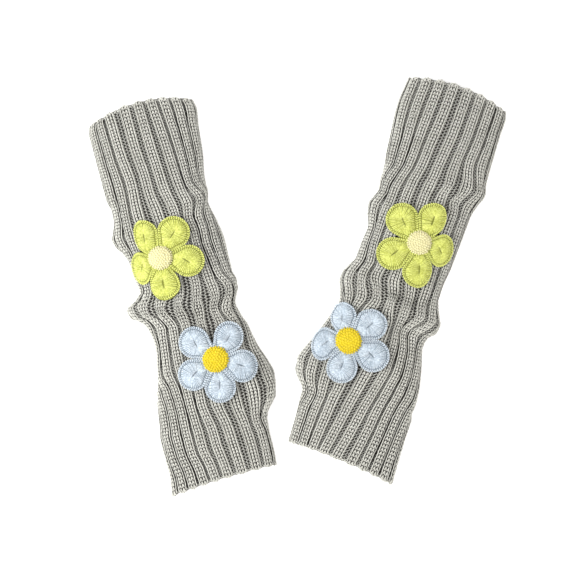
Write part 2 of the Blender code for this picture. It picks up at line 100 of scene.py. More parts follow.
# Rings and columns of the knitted wall; a column is a share of a rib past its valley
UPPER_ROWS = 98
THUMB_ROWS = 11
HAND_ROWS = 17
OUTER_SHARES = (-0.05, 0.05, 0.16, 0.30, 0.50, 0.70, 0.84)
INNER_SHARES = (-0.05, 0.05, 0.35, 0.65)
LIP_ROUND = 0.8

# Stitches of the knit, in shares of a wale and a course where no size is meant
WALES = 3
LEG_TURN = 16.0
LEG_OFFSET = 0.34
LEG_LENGTH = 0.605
LEG_WIDTH = 0.19
LEG_HEIGHT = 0.62
LEG_LIFT = 0.15
LEG_DIP = 0.25
RAIL_TURN = 8.0
RAIL_LONGER = 1.2
PURL_REACH = 1.2
PURL_SPAN = 2 / 3
PURL_LENGTH = 0.58
PURL_WIDTH = 0.26
PURL_WIDER = 0.4
PURL_HEIGHT = 0.45
PURL_LIFT = 0.8
PURL_DIP = 0.05
# Purl stitches keep to the lighter tones: painted light against the shade of their valleys.
PURL_PAINTED_LIGHT = 0.5
PURL_SINK = 1.7
SEEN_HEIGHT = 3.0
JITTER = 0.07
JITTER_TURN = 0.05

# Steps along and round, or right and up, over which the cloth's own directions are read
CREST_STEPS = (0.7, 0.04)
VALLEY_STEPS = (0.7, 0.02)
END_STEPS = (0.5, 0.04)
LIP_STEPS = (0.5, 0.02)
PETAL_STEPS = (0.5, 0.5)

# Grains of yarn: rings as place and radius, and the sides of a ring
FULL_RINGS = ((-0.5, 0.92), (0.5, 0.92))
LONG_RINGS = ((-0.66, 0.72), (0.0, 1.0), (0.66, 0.72))
PLAIN_RINGS = ((0.0, 1.0),)
FULL_SIDES = 6
LONG_SIDES = 5
PLAIN_SIDES = 4
UV_SPREAD = 7.0

# The chains round the ends, with rows as lift and reach past the end, and on the slit's lips
EDGE_STITCHES = 5
CHAIN_START = 0.3
CHAIN_ROWS = ((-0.2, 0.2), (-1.7, 0.5))
CHAIN_TURN = 24.0
CHAIN_LENGTH = 0.62
CHAIN_HALF = (0.75, 0.85)
CHAIN_DIP = 0.2
LIP_STEP = 2.2
LIP_ASIDE = 0.055
LIP_LIFTS = (-0.3, -1.6)
LIP_LEAN = 0.4
LIP_HALF = (1.45, 0.7, 0.7)
LIP_DIP = 0.1

# Crochet stitches, in millimetres unless a count or an angle
SLIT_DISTANCE = 24.0
SLIT_HALF = 4.3
RUN_START = 0.9
RUN_POINTS = 60
RUN_NUDGES = (-0.3, 0.3)
POST_STEP = 1.9
POST_START = 0.1
POST_END = 12.5
POST_MARGIN = 2.9
POST_WIDTH = 0.48
POST_HEIGHT = 0.6
POST_LIFT = 0.05
POST_DIP = 0.15
POST_TURN = 0.012
POST_PAINTED_SHADE = 0.6
POST_RINGS = ((-0.88, 0.38), (0.0, 0.64), (0.85, 0.92))
EDGING_STEP = 2.05
EDGING_LENGTH = 0.56
EDGING_HEIGHT = 0.72
EDGING_PAINTED_LIGHT = 0.95
EDGING_TURN = 0.2
EDGING_STARTS = (0.2, 0.8)
EDGING_DIP = 0.2
EDGING_RISE = 4.0
RING_PLACE = 0.6
RING_STEP = 1.9
RING_SLANT = 0.3
RING_HALF = (1.2, 0.85, 0.8)
UNDER_STITCH = 2.0
UNDER_DROP = 0.45
LEAST_LAYER = 0.8
# Painted shade between crochet stitches: its darker tone is this share of its lighter one.
SHADE_SPREAD = 0.8
SLIT_DEPTH = 0.8
SLIT_SOFTNESS = 0.55
DIMPLE_DEPTH = 0.6
DIMPLE_SOFTNESS = 3.2
NUB_LENGTH = 1.6
NUB_WIDTH = 1.0
NUB_HEIGHT = 0.65
NUB_SINK = 0.5
NUB_OVERHANG = 0.6
RIM_SHARE = 0.93
RIM_DROP = 1.0
NUB_SHIFT = 0.37
NUB_STRAY = 0.25
NUB_RISES = (-0.1, 0.3)
NUB_DIP = 0.4
NUB_RINGS = ((0.0, 1), (2.5, 6), (5.0, 12), (7.5, 18), (9.9, 24), (11.7, 30))

# Flowers
PETAL_SPOKES = 30
SPOKE_REACH = 0.995
NOTCH_RADIUS = 19.8
NOTCH_SLOPE = 2.6
LEAST_NOTCH = 14.5
CENTRE_SPOKES = 48
SEWN_GAP = 0.6
SIDE_GAP = 1.2
DRAWN_FROM = 10.0
STACK_GAP = 0.3
PETAL_DISTANCE = 26.0
PETAL_RADIUS = 15.0
PETAL_EDGE = 2.4
PETAL_DOME = 1.8
DOME_MARGIN = 0.4
DOME_RUN_IN = 6.0
CENTRE_RADIUS = 12.0
CENTRE_EDGE = 2.0
CENTRE_DOME = 1.4

# Rings of the crochet layers, as shares of the outline and of the thickness, top to bottom
PETAL_RINGS = (
    (0.22, 1.0), (0.36, 1.0), (0.46, 1.0), (0.54, 1.0), (0.62, 1.0), (0.70, 1.0), (0.78, 1.0),
    (0.85, 1.0), (0.91, 0.97), (0.96, 0.86), (0.99, 0.66), (1.0, 0.45), (0.98, 0.18),
    (0.92, 0.0), (0.60, 0.0), (0.25, 0.0),
)
CENTRE_RINGS = (
    (0.25, 1.0), (0.5, 1.0), (0.72, 1.0), (0.88, 0.9), (0.97, 0.7), (1.0, 0.45), (0.96, 0.15),
    (0.86, 0.0), (0.4, 0.0),
)

# Finishes: scales of noise and bands, shares of tones, a turn in degrees and bumps in metres.
# The ground's bands come five to a rib and one to a course.
PATCH_SCALE = 55.0
PATCH_SHARE = 0.7
FLECK_SCALE = 750.0
FLECK_MIDDLE = 0.515
STITCH_SHARE = 0.5
PLY_TURN = 38.0
PLY_SCALE = 0.55
PLY_DEPTH = 0.00022
FUZZ_SCALE = 1900.0
FUZZ_DEPTH = 0.0002
GROUND_WALES = 5 / 3.2
GROUND_COURSES = 0.11
GROUND_SCALE = 900.0
GROUND_DEPTH = 0.0006
LEAST_INSIDE = 0.6

# The stage
FLOOR_HALF = 4000.0
FLOOR_DROP = 0.05
FLOOR_SCALE = 3.0
FLOOR_SPREAD = 1.02
SKY_COLOUR = (0.97, 0.98, 1.0, 1)
SENSOR_WIDTH = 36.0
SIGHT_END = 50.0

Section = namedtuple("Section", "along left right crown")
Ribs = namedtuple("Ribs", "along one two three first last")
Fold = namedtuple("Fold", "along across turn reach above below rise")
Bend = namedtuple("Bend", "along across shift reach width")
Edge = namedtuple("Edge", "left middle right")
EdgingRow = namedtuple("EdgingRow", "radius margin slant level width")
Light = namedtuple("Light", "name setting place aim size colour")
Flower = namedtuple(
    "Flower",
    "colour centre along across left_share right_share petals sizes slits centre_size",
)
Sleeve = namedtuple(
    "Sleeve",
    "side start turn sections ribs tracked folds creases openings bends upper_edge hand_edge "
    "seam_rib thumb_side low_rib flowers",
)


def named_rows(kind, *values):
    """A table's rows, each with its values named."""
    return tuple(kind(*row) for row in values)


LEFT_SLEEVE = Sleeve(
    side="left",
    start=(-140.7, 158.7),
    turn=12.7,
    sections=named_rows(
        Section,
        (0, -49, 48, 20), (7, -51, 49.5, 20.5), (22, -50.5, 48, 21.5), (50, -49.5, 46, 23),
        (72, -48.5, 43, 24), (83, -46, 43, 24.5), (93, -46.5, 41, 24.5), (101, -49, 42.5, 25),
        (108, -51.5, 44.5, 25), (115, -49.5, 46, 25), (122, -44.5, 47.5, 24.5), (131, -41, 48.5, 24),
        (147, -39.5, 48.5, 24), (158, -37, 48.5, 24), (165, -42.5, 50.5, 24), (172, -52.5, 51, 24.5),
        (179, -51, 48, 24.5), (187, -41, 45, 24), (196, -36.5, 47, 24), (209, -34.5, 52, 24),
        (228, -37, 56.5, 24.5), (244, -40, 62.5, 24.5), (256, -43.5, 65.5, 24),
        (THUMB_START, -45, 65.5, 23.5), (275, -46, 64.5, 23), (284, -47, 58.5, 22.5),
        (THUMB_END, -48.5, 51, 22), (309, -48, 49.5, 21), (324, -47.5, 50, 20.5), (338.5, -50, 49.5, 20),
    ),
    ribs=named_rows(
        Ribs,
        (0, -34.5, -7.5, 16.5, -0.4, 9.3), (36, -32, -5.5, 21, -0.4, 9.3),
        (72, -29, -2.5, 24, -0.5, 9.2), (90, -29.5, 1.5, 27, -0.5, 8.3), (108, -28, 3.5, 28, -0.6, 8.6),
        (135, -26, 5.5, 29.5, -0.2, 8.9), (162, -24.5, 6.5, 32.5, 0.2, 8.6),
        (180, -29, 3.5, 37, -0.3, 7.6), (198, -20.5, 4, 33.5, 0.1, 7.7),
        (234, -22.5, 3.5, 33.5, 0.2, 8.2), (252, -20, 3, 34, -0.9, 8.2), (268, -19, 3, 34.5, -1.4, 8),
        (293, -18.5, 6.5, 35, -1.5, 8), (308, -18, 7.5, 37, -1.6, 7.5),
        (324, -14.5, 9.5, 37.5, -1.8, 7.5), (338.5, -12.5, 11, 37.5, -2, 7.5),
    ),
    tracked=(2, 4, 6),
    folds=named_rows(
        Fold,
        (82, 36, -15, 13, 7, 4.5, 2.2), (82, -5, -25, 40, 12, 12, -1.8), (107, -43, 15, 10, 7, 6, 1.4),
        (116, -41, 40, 11, 6, 6, -1.4), (174, -18, 3, 40, 5.5, 9, 4), (166, -28, 8, 14, 5, 5, -0.8),
        (188, 12, 8, 27, 7, 9, -2.8), (169, 42, -12, 12, 7, 6, 2), (258, 44, 60, 20, 11, 11, 1.5),
    ),
    creases=named_rows(
        Fold,
        (87, 33, 78, 10, 2.6, 2.6, -1.8), (89, 40, 80, 9, 3.5, 3.5, 1.3), (126, 26, 80, 15, 4, 4, -1.5),
        (131, 37, 76, 17, 4, 4, 1.5), (157, 25, 20, 8, 5, 5, -2), (173, 37, -12, 9, 4, 3.5, 1.8),
        (184, 31, -38, 10, 4, 4, -2.8), (188, 4, 4, 9, 4, 5, -1.8), (186, 21, 4, 9, 4, 5, -2),
        (187, -14, 10, 9, 3.5, 5, -1.5), (60, -20, -35, 16, 5, 5, -0.8), (40, 18, 30, 18, 6, 6, 0.7),
        (214, -22, -50, 15, 4, 4, -1.2), (262, 20, 65, 20, 5, 5, -1), (290, -22, 75, 22, 5, 5, 0.9),
    ),
    openings=named_rows(
        Fold,
        (178, -8, -3, 46, 5, 5, 0.12), (189, -22, 0, 16, 5, 6, -0.05), (162, 6, 90, 13, 4, 4, 0.07),
        (197, 19, 88, 13, 4, 4, 0.08), (194, 4, 86, 9, 4, 4, 0.06), (158, 10, 0, 30, 7, 6, -0.03),
        (150, 6, 85, 12, 8, 8, 0.04),
    ),
    bends=named_rows(
        Bend,
        (88, 36, 4.5, 9, 13), (103, 27, -2, 9, 12), (128, 34, -1.8, 12, 11), (167, 43, 3, 8, 11),
        (187, 36, -5.5, 9, 14), (204, 34, 1.8, 9, 14), (172, -34, -2.5, 7, 12), (190, -30, 2, 9, 14),
        (181, 6, -1.6, 6, 12), (57, -14, 1.2, 16, 18), (268, 4, -1.4, 18, 18),
    ),
    upper_edge=Edge(2.5, -7.5, 0.0),
    hand_edge=Edge(4.5, -0.5, -2.0),
    seam_rib=8,
    thumb_side="right",
    low_rib=-3,
    flowers=(
        Flower("green", "cream", 132.8, -11.3, 0.57, 1.0, (-95.0, -19.0, 50.0, 117.0, 192.0),
               (0.96, 0.96, 0.97, 0.94, 0.98), (4, -24, -8, -30, 48), 0.86),
        Flower("blue", "yellow", 232.7, 16.7, 0.95, 0.93, (-93.0, -25.5, 46.5, 129.5, 201.5),
               (0.95, 0.97, 0.91, 0.95, 0.95), (-10, -5, 0, -26, 11), 0.93),
    ),
)

RIGHT_SLEEVE = Sleeve(
    side="right",
    start=(141.9, 173.1),
    turn=-16.8,
    sections=named_rows(
        Section,
        (0, -45, 49, 20), (7, -46, 50.5, 20.5), (22, -47.5, 50, 21.5), (50, -46, 50, 23),
        (68, -44.5, 50.5, 24), (79, -43, 52.5, 24.5), (90, -43, 48.5, 24), (101, -41.5, 45.5, 24),
        (108, -44, 45, 24.5), (115, -46.5, 44.5, 24.5), (124, -45, 44, 24), (137, -41, 43, 24),
        (151, -42.5, 42, 24), (166, -43.5, 40, 24), (174, -47.5, 39.5, 24), (181, -51, 39.5, 24.5),
        (188, -52, 41.5, 24.5), (195, -50, 44.5, 24.5), (203, -47.5, 47.5, 24.5),
        (210, -46.5, 46.5, 24), (217, -49.5, 40.5, 24), (226, -52.5, 38.5, 24), (242, -58.5, 42, 24.5),
        (256, -65, 45, 24.5), (THUMB_START, -68.5, 46.5, 24), (275, -69, 47, 23.5), (284, -65, 47, 23),
        (THUMB_END, -56, 47.5, 22), (309, -54.5, 47, 21), (324, -54, 47, 20.5), (341, -54, 47.5, 20),
    ),
    ribs=named_rows(
        Ribs,
        (0, -10, 16.5, 39, -0.3, 8.6), (36, -13, 14.5, 37.5, -0.4, 8.6), (54, -14, 12.5, 36, -0.5, 8.6),
        (72, -16.5, 10, 38, -0.5, 8.6), (86, -20, 7.5, 37.5, 0, 8.6), (108, -22.5, 6.5, 34.5, 0.5, 8.6),
        (144, -26.5, 4, 32.5, 0.6, 8.5), (171, -24.5, 3, 32, 0.6, 8.6),
        (198, -24.5, 4.5, 30.5, 0.2, 8.5), (216, -28, 7, 24.5, 0, 9), (252, -31.5, 4.5, 27, 0, 9.5),
        (270, -31.5, 0, 24, 0, 9.6), (293, -32.5, -4.5, 19.5, 0, 10.3),
        (308, -34, -7.5, 17.5, 0.6, 10.5), (341, -36.5, -15, 11.5, 0.7, 10.7),
    ),
    tracked=(3, 5, 7),
    folds=named_rows(
        Fold,
        (78, 42, -15, 13, 8, 5, 2.5), (87, 36, -30, 13, 5, 6, -2), (74, 10, 27, 24, 9, 9, 1.8),
        (100, -34, 0, 13, 7, 6, -1.4), (115, -36, 0, 14, 8, 8, 1.6), (187, -40, 5, 18, 8, 7, 3),
        (174, -24, 20, 11, 6, 6, -2), (197, 15, -4, 24, 6, 7, 3.2), (204, 38, -15, 12, 6, 6, 2),
        (213, 31, -42, 14, 6, 6, -2.4), (186, 8, 0, 22, 7, 6, -1.6), (260, -48, -60, 20, 11, 11, 1.5),
    ),
    creases=named_rows(
        Fold,
        (84, 20, 24, 15, 3.5, 4, 1.8), (91, 8, 40, 10, 4, 4, -1.3), (75, 30, 40, 10, 4, 4, -1.3),
        (66, 45, 80, 13, 3, 3, -1.2), (190, -10, 18, 27, 4, 4.5, 2.2), (176, -23, 65, 8, 3.5, 3.5, -2),
        (185, 0, 60, 9, 3.5, 3.5, -1.8), (205, -11, 14, 10, 4, 5, -2), (191, 20, 82, 9, 3, 3, -1.8),
        (187, 29, 80, 9, 3, 3, -1.6), (208, 17, -40, 10, 4, 4, -2), (199, 26, 10, 12, 4, 4, 1.2),
        (50, -16, 35, 18, 5, 5, -0.8), (36, 20, -30, 18, 6, 6, 0.7), (258, 12, -65, 20, 5, 5, -1),
        (296, -10, -72, 22, 5, 5, 0.9),
    ),
    openings=named_rows(
        Fold,
        (191, -10, 18, 32, 4.5, 4.5, 0.09), (205, 34, -8, 16, 4.5, 4.5, 0.07),
        (206, -12, 16, 26, 4, 5, -0.05), (84, 18, 24, 18, 4.5, 4.5, 0.07),
        (94, 18, 24, 18, 5, 5, -0.04),
    ),
    bends=named_rows(
        Bend,
        (78, 38, 3.5, 9, 14), (92, 34, -3, 8, 14), (82, 10, 1.8, 8, 12), (97, -32, -1.5, 9, 12),
        (178, -22, -3.5, 9, 15), (196, -20, 3.2, 9, 15), (186, 6, 2.2, 8, 12), (202, 26, 4, 9, 13),
        (218, 24, -3, 9, 14), (52, -8, -1.2, 16, 18), (268, 2, 1.4, 18, 18),
    ),
    upper_edge=Edge(-2.0, -8.0, 1.0),
    hand_edge=Edge(0.0, 3.0, 9.5),
    seam_rib=0,
    thumb_side="left",
    low_rib=-1,
    flowers=(
        Flower("green", "cream", 136.8, 7.2, 1.0, 0.68, (-74.5, -2.5, 76.0, 143.0, 219.5),
               (0.99, 0.99, 0.95, 0.98, 0.98), (0, -38, 12, -14, 16), 0.86),
        Flower("blue", "yellow", 239.4, -27.9, 0.74, 1.0, (-88.0, -14.5, 52.5, 122.0, 201.0),
               (0.94, 0.98, 0.96, 0.88, 0.98), (-7, -14, 3, -15, 26), 0.93),
    ),
)
SLEEVES = (LEFT_SLEEVE, RIGHT_SLEEVE)

EDGING_ROWS = (
    EdgingRow(radius=14.4, margin=0.8, slant=-34, level=1.2, width=0.64),
    EdgingRow(radius=13.2, margin=1.9, slant=44, level=1.0, width=0.50),
)
LIGHTS = (
    Light("key_light", "key", (-1.05, -0.15, 0.85), (-0.05, 0, 0), 1.06, (1.0, 1.0, 0.98)),
    Light("top_light", "top", (0.1, 0.1, 1.7), (0, 0, 0), 1.5, (1.0, 1.0, 1.0)),
    Light("warm_fill", "fill", (0.75, -0.2, 0.6), (0, 0, 0), 0.7, (1.0, 0.93, 0.82)),
)


# ---------------------------------------------------------------- reading tables


def smooth_rows(place, places, values):
    """Cubics through many rows of points (places, values) that never overshoot them.

    Each row's slope at a point is the harmonic mean of the rises on its two sides, or nothing
    where they differ in sign. Between two points the cubic has their values and slopes.
    """
    steps = np.diff(places, axis=1)
    rises = np.diff(values, axis=1) / steps
    product = rises[:, :-1] * rises[:, 1:]
    total = rises[:, :-1] + rises[:, 1:]
    slopes = np.empty_like(values)
    slopes[:, 1:-1] = np.where(product > 0, 2 * product / np.where(total == 0, 1, total), 0)
    slopes[:, 0] = rises[:, 0]
    slopes[:, -1] = rises[:, -1]
    i = np.sum(place[:, :, None] > places[:, None, :], axis=2) - 1
    i = np.clip(i, 0, steps.shape[1] - 1)
    step = np.take_along_axis(steps, i, 1)
    t = (place - np.take_along_axis(places, i, 1)) / step
    t = np.clip(t, 0, 1)
    near, far = (np.take_along_axis(values, k, 1) for k in (i, i + 1))
    near_slope, far_slope = (np.take_along_axis(slopes, k, 1) for k in (i, i + 1))
    start = (1 + 2 * t) * (1 - t) ** 2 * near + t * (1 - t) ** 2 * step * near_slope
    return start + t * t * (3 - 2 * t) * far + t * t * (t - 1) * step * far_slope


def smooth(place, places, values):
    """One such cubic, read at any array of places."""
    place = np.asarray(place, float)
    rows = [np.asarray(row, float).reshape(1, -1) for row in (place, places, values)]
    return smooth_rows(*rows).reshape(place.shape)


def read(rows, name, along):
    """A table's named column, read smoothly at places along the sleeve."""
    places = [row.along for row in rows]
    return smooth(along, places, [getattr(row, name) for row in rows])


def between(table, i, f, j, g):
    """A table read between its entries, a share f past row i and a share g past column j."""
    near = table[i, j] * (1 - g) + table[i, j + 1] * g
    far = table[i + 1, j] * (1 - g) + table[i + 1, j + 1] * g
    return near * (1 - f) + far * f


def interp_rows(place, places, values):
    """Straight interpolation in many rows at once: each row is shifted clear of the one before."""
    lowest, highest = np.min(places), np.max(places)
    shift = np.arange(len(places))[:, None] * (highest - lowest + 1.0)
    place = np.clip(place, lowest, highest)
    flat = np.interp((place + shift).ravel(), (places + shift).ravel(), values.ravel())
    return flat.reshape(place.shape)


def unit(vectors):
    """The vectors, each divided by its length."""
    return vectors / np.maximum(np.linalg.norm(vectors, axis=-1, keepdims=True), 1e-12)


def polar(radius, angle):
    """Places right of and above a middle, from their radii and angles."""
    return radius * np.cos(angle), radius * np.sin(angle)


def ease(t):
    """A soft step from 0 to 1: 3t^2 - 2t^3, held at its ends."""
    t = np.clip(t, 0, 1)
    return t * t * (3 - 2 * t)


# ---------------------------------------------------------------- the face of a sleeve


def fold_height(folds, along, across):
    """Sum of soft ridges and troughs: rise * exp(-(lengthwise/reach)^2 - (sidewise/width)^2).

    Lengthwise runs along the fold's own line, sidewise across it, with one width above the
    line and another below it.
    """
    height = np.zeros(np.broadcast(along, across).shape)
    for fold in folds:
        turn = math.radians(fold.turn)
        right = across - fold.across
        down = along - fold.along
        lengthwise = right * math.cos(turn) + down * math.sin(turn)
        sidewise = down * math.cos(turn) - right * math.sin(turn)
        width = np.where(sidewise < 0, fold.above, fold.below)
        shape = np.exp(-((lengthwise / fold.reach) ** 2) - (sidewise / width) ** 2)
        height = height + fold.rise * shape
    return height


def bent(bends, along, across):
    """How far ribs are pushed sideways: the sum of shift * exp(-(down/reach)^2 - (right/width)^2)."""
    shift = np.zeros(np.broadcast(along, across).shape)
    for bend in bends:
        down = (along - bend.along) / bend.reach
        right = (across - bend.across) / bend.width
        shift = shift + bend.shift * np.exp(-(down**2) - right**2)
    return shift


def section_outlines(sleeve, along, inset, base, folds):
    """Closed outlines of many sections at once: across and height, one row each.

    A row starts at the left edge, goes over the top to the right edge and back along the base.
    The top is a superellipse with the folds added, the two lower corners are quarter ellipses,
    and the base is flat.
    """
    left, right, crown = (
        read(sleeve.sections, name, along)[:, None] for name in ("left", "right", "crown")
    )
    half = (right - left) / 2 - inset
    middle = (left + right) / 2
    belly = BELLY_SHARE * crown
    flat = FLAT_SHARE * (right - left) / 2

    angle = np.linspace(math.pi, 0, TOP_STEPS)[None, :]
    power = 2 / TOP_ROUNDNESS
    top_across = half * np.sign(np.cos(angle)) * np.abs(np.cos(angle)) ** power
    share = np.sin(angle) ** power
    share[:, [0, -1]] = 0
    rise = fold_height(folds, along[:, None], top_across + middle) * share**FOLD_SIDE_POWER
    top_height = belly + (crown - inset - belly) * share + rise

    corner = np.linspace(0, math.pi / 2, CORNER_STEPS)[None, 1:]
    corner_across = flat + (half - flat) * np.cos(corner)
    corner_height = belly - (belly - base) * np.sin(corner)
    base_across = flat * np.linspace(1, -1, BASE_STEPS)[None, 1:-1]
    base_height = np.full_like(base_across, base)

    across = (top_across, corner_across, base_across, -corner_across[:, ::-1], top_across[:, :1])
    height = (top_height, corner_height, base_height, corner_height[:, ::-1], top_height[:, :1])
    return np.concatenate(across, 1) + middle, np.concatenate(height, 1)


def end_shift(sleeve, along, across):
    """How far points are moved along, so that the two ends run as their edges do."""
    length = sleeve.sections[-1].along
    shift = 0.0
    for edge, distance in ((sleeve.upper_edge, along), (sleeve.hand_edge, length - along)):
        fade = np.clip(1.0 - distance / END_FADE, 0, None) ** END_FADE_POWER
        place = across / END_HALF
        bow = (edge.left + edge.right) / 2 - edge.middle
        tilt = (edge.right - edge.left) / 2
        shift = shift + fade * (edge.middle + tilt * place + bow * place**2)
    return shift


def placed(sleeve, along, across, height):
    """Points in the pair's own frame, in millimetres."""
    turn = math.radians(sleeve.turn)
    along = along + end_shift(sleeve, along, across)
    x = sleeve.start[0] + along * math.sin(turn) + across * math.cos(turn)
    y = sleeve.start[1] - along * math.cos(turn) + across * math.sin(turn)
    return np.stack(np.broadcast_arrays(x, y, height), axis=-1)


class Face:
    """One face of a sleeve's wall, as tables over places along it and round it."""

    def __init__(self, sleeve, inset, base, folds):
        self.sleeve = sleeve
        self.length = sleeve.sections[-1].along
        self.rows = int(round(self.length / TABLE_STEP)) + 1
        along = np.linspace(0, self.length, self.rows)
        self.step = along[1]
        across, height = section_outlines(sleeve, along, inset, base, folds)
        run = np.hypot(np.diff(across, axis=1), np.diff(height, axis=1))
        arc = np.concatenate((np.zeros((self.rows, 1)), np.cumsum(run, 1)), 1)
        self.around = arc[:, -1]
        self.top_across = across[:, :TOP_STEPS]
        self.top_arc = arc[:, :TOP_STEPS]

        share = np.linspace(0, 1, TABLE_COLUMNS + 1)[None, :] * self.around[:, None]
        across = interp_rows(share, arc, across)
        height = interp_rows(share, arc, height)
        self.points = placed(sleeve, along[:, None], across, height)
        ring = self.points[:, :-1]
        onward = np.roll(ring, -1, 1) - np.roll(ring, 1, 1)
        normals = unit(np.cross(np.gradient(ring, axis=0), onward))
        self.normals = np.concatenate((normals, normals[:, :1]), 1)
        spaced = self.spaced_ribs(along)
        rib_across, near_top = self.across_of(spaced)
        self.rib_arcs = spaced + near_top * bent(sleeve.bends, along[:, None], rib_across)
        self.opened = near_top * fold_height(sleeve.openings, along[:, None], rib_across)

    def spaced_ribs(self, along):
        """Arcs of rib numbers in fine steps, one row each, growing from the lowest rib.

        Three tracked ribs and the two edges are known from the table of ribs. The others are
        spaced by a smooth curve through these. Near the open thumb slit they are moved apart.
        """
        sleeve = self.sleeve
        *tracks, first, last = (read(sleeve.ribs, name, along)[:, None] for name in Ribs._fields[1:])
        around = self.around[:, None]
        right_arc = self.top_arc[:, -1:]
        known = [first, *(np.full_like(first, rib) for rib in sleeve.tracked), last]
        tracked = [interp_rows(track, self.top_across, self.top_arc) for track in tracks]
        arcs = [np.zeros_like(first), *tracked, right_arc]
        known = np.concatenate([k + turn * RIB_COUNT for turn in (-1, 0, 1) for k in known], 1)
        arcs = np.concatenate([a + turn * around for turn in (-1, 0, 1) for a in arcs], 1)
        count = RIB_COUNT * RIB_STEPS + 1
        ribs = sleeve.low_rib + np.arange(count)[None, :] / RIB_STEPS
        spaced = smooth_rows(np.broadcast_to(ribs, (len(along), count)), known, arcs)

        seam = 0.0 if sleeve.thumb_side == "left" else right_arc
        places = (0, THUMB_START, (2 * THUMB_START + THUMB_END) / 3, (THUMB_START + 2 * THUMB_END) / 3)
        opening = smooth(along, (*places, THUMB_END, self.length), (0, 0, 1, 1, 0, 0))[:, None]
        away = np.mod(spaced - seam + around / 2, around) - around / 2
        spread = THUMB_OPENING * opening * np.sign(away) * np.exp(-np.abs(away) / THUMB_FALLOFF)
        return spaced + spread

    def across_of(self, arcs):
        """How far across the sleeve arcs lie, one row each, and a fade to 0 down to its base."""
        around = self.around[:, None]
        right_arc = self.top_arc[:, -1:]
        wrapped = np.mod(arcs, around)
        across = interp_rows(np.minimum(wrapped, right_arc), self.top_arc, self.top_across)
        inside = np.minimum(wrapped, right_arc - wrapped)
        return across, ease(inside / BEND_FADE)

    def row_of(self, along):
        """The table row before each place along, and how far past it the place is."""
        row = along / self.step
        i = np.clip(np.floor(row).astype(int), 0, self.rows - 2)
        return i, row - i

    def read_ribs(self, table, along, rib):
        """A table over places along and rib numbers, read between its entries."""
        column = np.mod(rib - self.sleeve.low_rib, RIB_COUNT) * RIB_STEPS
        j = np.minimum(column.astype(int), RIB_COUNT * RIB_STEPS - 1)
        return between(table, *self.row_of(along), j, column - j)

    def arc_of(self, along, rib):
        """The arc of rib numbers."""
        return self.read_ribs(self.rib_arcs, along, rib)

    def around_at(self, along):
        """The length round the sleeve at places along it."""
        i, f = self.row_of(along)
        return self.around[i] * (1 - f) + self.around[i + 1] * f

    def pitch_of(self, along, rib):
        """The width of one rib round the sleeve, about a rib number."""
        width = self.arc_of(along, rib + 0.5) - self.arc_of(along, rib - 0.5)
        return np.mod(width, self.around_at(along))

    def at(self, along, arc):
        """Points and outward normals at places along and round, read between the entries."""
        i, f = self.row_of(along)
        column = np.mod(arc / self.around_at(along), 1) * TABLE_COLUMNS
        j = np.minimum(column.astype(int), TABLE_COLUMNS - 1)
        place = i, f[..., None], j, (column - j)[..., None]
        return between(self.points, *place), unit(between(self.normals, *place))


class Knit:
    """The ribbed knit of one sleeve: where a rib number and a place along it lie in space."""

    def __init__(self, sleeve, sizes):
        self.sleeve = sleeve
        self.sizes = sizes
        folds = sleeve.folds + sleeve.creases
        self.outer = Face(sleeve, sizes.skin / MM, sizes.base_skin / MM, folds)
        self.inner = Face(sleeve, WALL_INSET, BASE_WALL, folds)

    def valley_half(self, along, rib):
        """Half the width of a valley, as a share of a rib.

        The three knit wales of a rib keep their width, and the valley takes what is left.
        """
        pitch = self.outer.pitch_of(along, rib)
        share = (pitch - self.sizes.rib_width / MM) / pitch
        share = np.clip(share, self.sizes.least_valley, self.sizes.most_valley)
        return share / 2 + self.outer.read_ribs(self.outer.opened, along, rib)

    def openness(self, half):
        """0 where a valley is pressed shut between two ribs, 1 where it is stretched open."""
        least, most = self.sizes.least_valley, self.sizes.most_valley
        return np.clip((2 * half - least) / (most - least), 0, 1)

    def depth(self, along, rib, height):
        """How deep the face lies under its crests: a soft step, and a slightly rounded crest.

        A valley that is pressed shut is deeper than one that is stretched flat.
        """
        away = np.abs(np.mod(rib + 0.5, 1) - 0.5)
        half = self.valley_half(along, rib)
        wall = 1 - ease((away - 0.5 * half) / (0.5 * half + VALLEY_SLOPE))
        raised = np.clip((height - BASE_WALL) / RIB_FADE_HEIGHT, 0, 1)
        low = self.sizes.base_rib_depth / MM
        opened = self.openness(half)
        high = self.sizes.rib_depth / MM + SHUT_DEEPER * (1 - opened) - OPEN_RISE * opened
        full = low + (high - low) * raised
        return full * wall + CREST_ROUND * raised * (1 - 2 * away) ** 2

    def place(self, along, rib, lift):
        """Points of the outer face at places along and rib numbers, moved out by lift.

        At both ends the crests reach further than the valleys, as a cosine of the rib number.
        """
        length = self.outer.length
        crest = -SCALLOP * np.cos(2 * math.pi * rib)
        near_hand = np.clip(1 - (length - along) / SCALLOP_REACH, 0, 1)
        near_arm = np.clip(1 - along / SCALLOP_REACH, 0, 1)
        along = along + crest * (near_hand - near_arm)
        points, normals = self.outer.at(along, self.outer.arc_of(along, rib))
        depth = self.depth(along, rib, points[..., 2])
        return points + (lift - depth)[..., None] * normals

    def inside(self, along, rib):
        """Points of the inner face, kept a least wall behind the outer one where a valley is deep."""
        points, normals = self.inner.at(along, self.inner.arc_of(along, rib))
        wall = np.sum((self.place(along, rib, 0.0) - points) * normals, axis=-1)
        return points - np.clip(LEAST_WALL - wall, 0, None)[..., None] * normals

    def courses(self):
        """Places of the courses: their height grows evenly from the upper end to the hand."""
        upper, hand = self.sizes.course_upper, self.sizes.course_hand
        length = self.outer.length
        count = int(round(length * MM / ((upper + hand) / 2)))
        t = (np.arange(count) + 0.5) / count
        growth = (hand - upper) / (hand + upper)
        return length * (t + growth * (t * t - t))

    def course_height(self, along):
        """The height of a course at places along the sleeve."""
        upper, hand = self.sizes.course_upper / MM, self.sizes.course_hand / MM
        return upper + (hand - upper) * np.clip(along / self.outer.length, 0, 1)


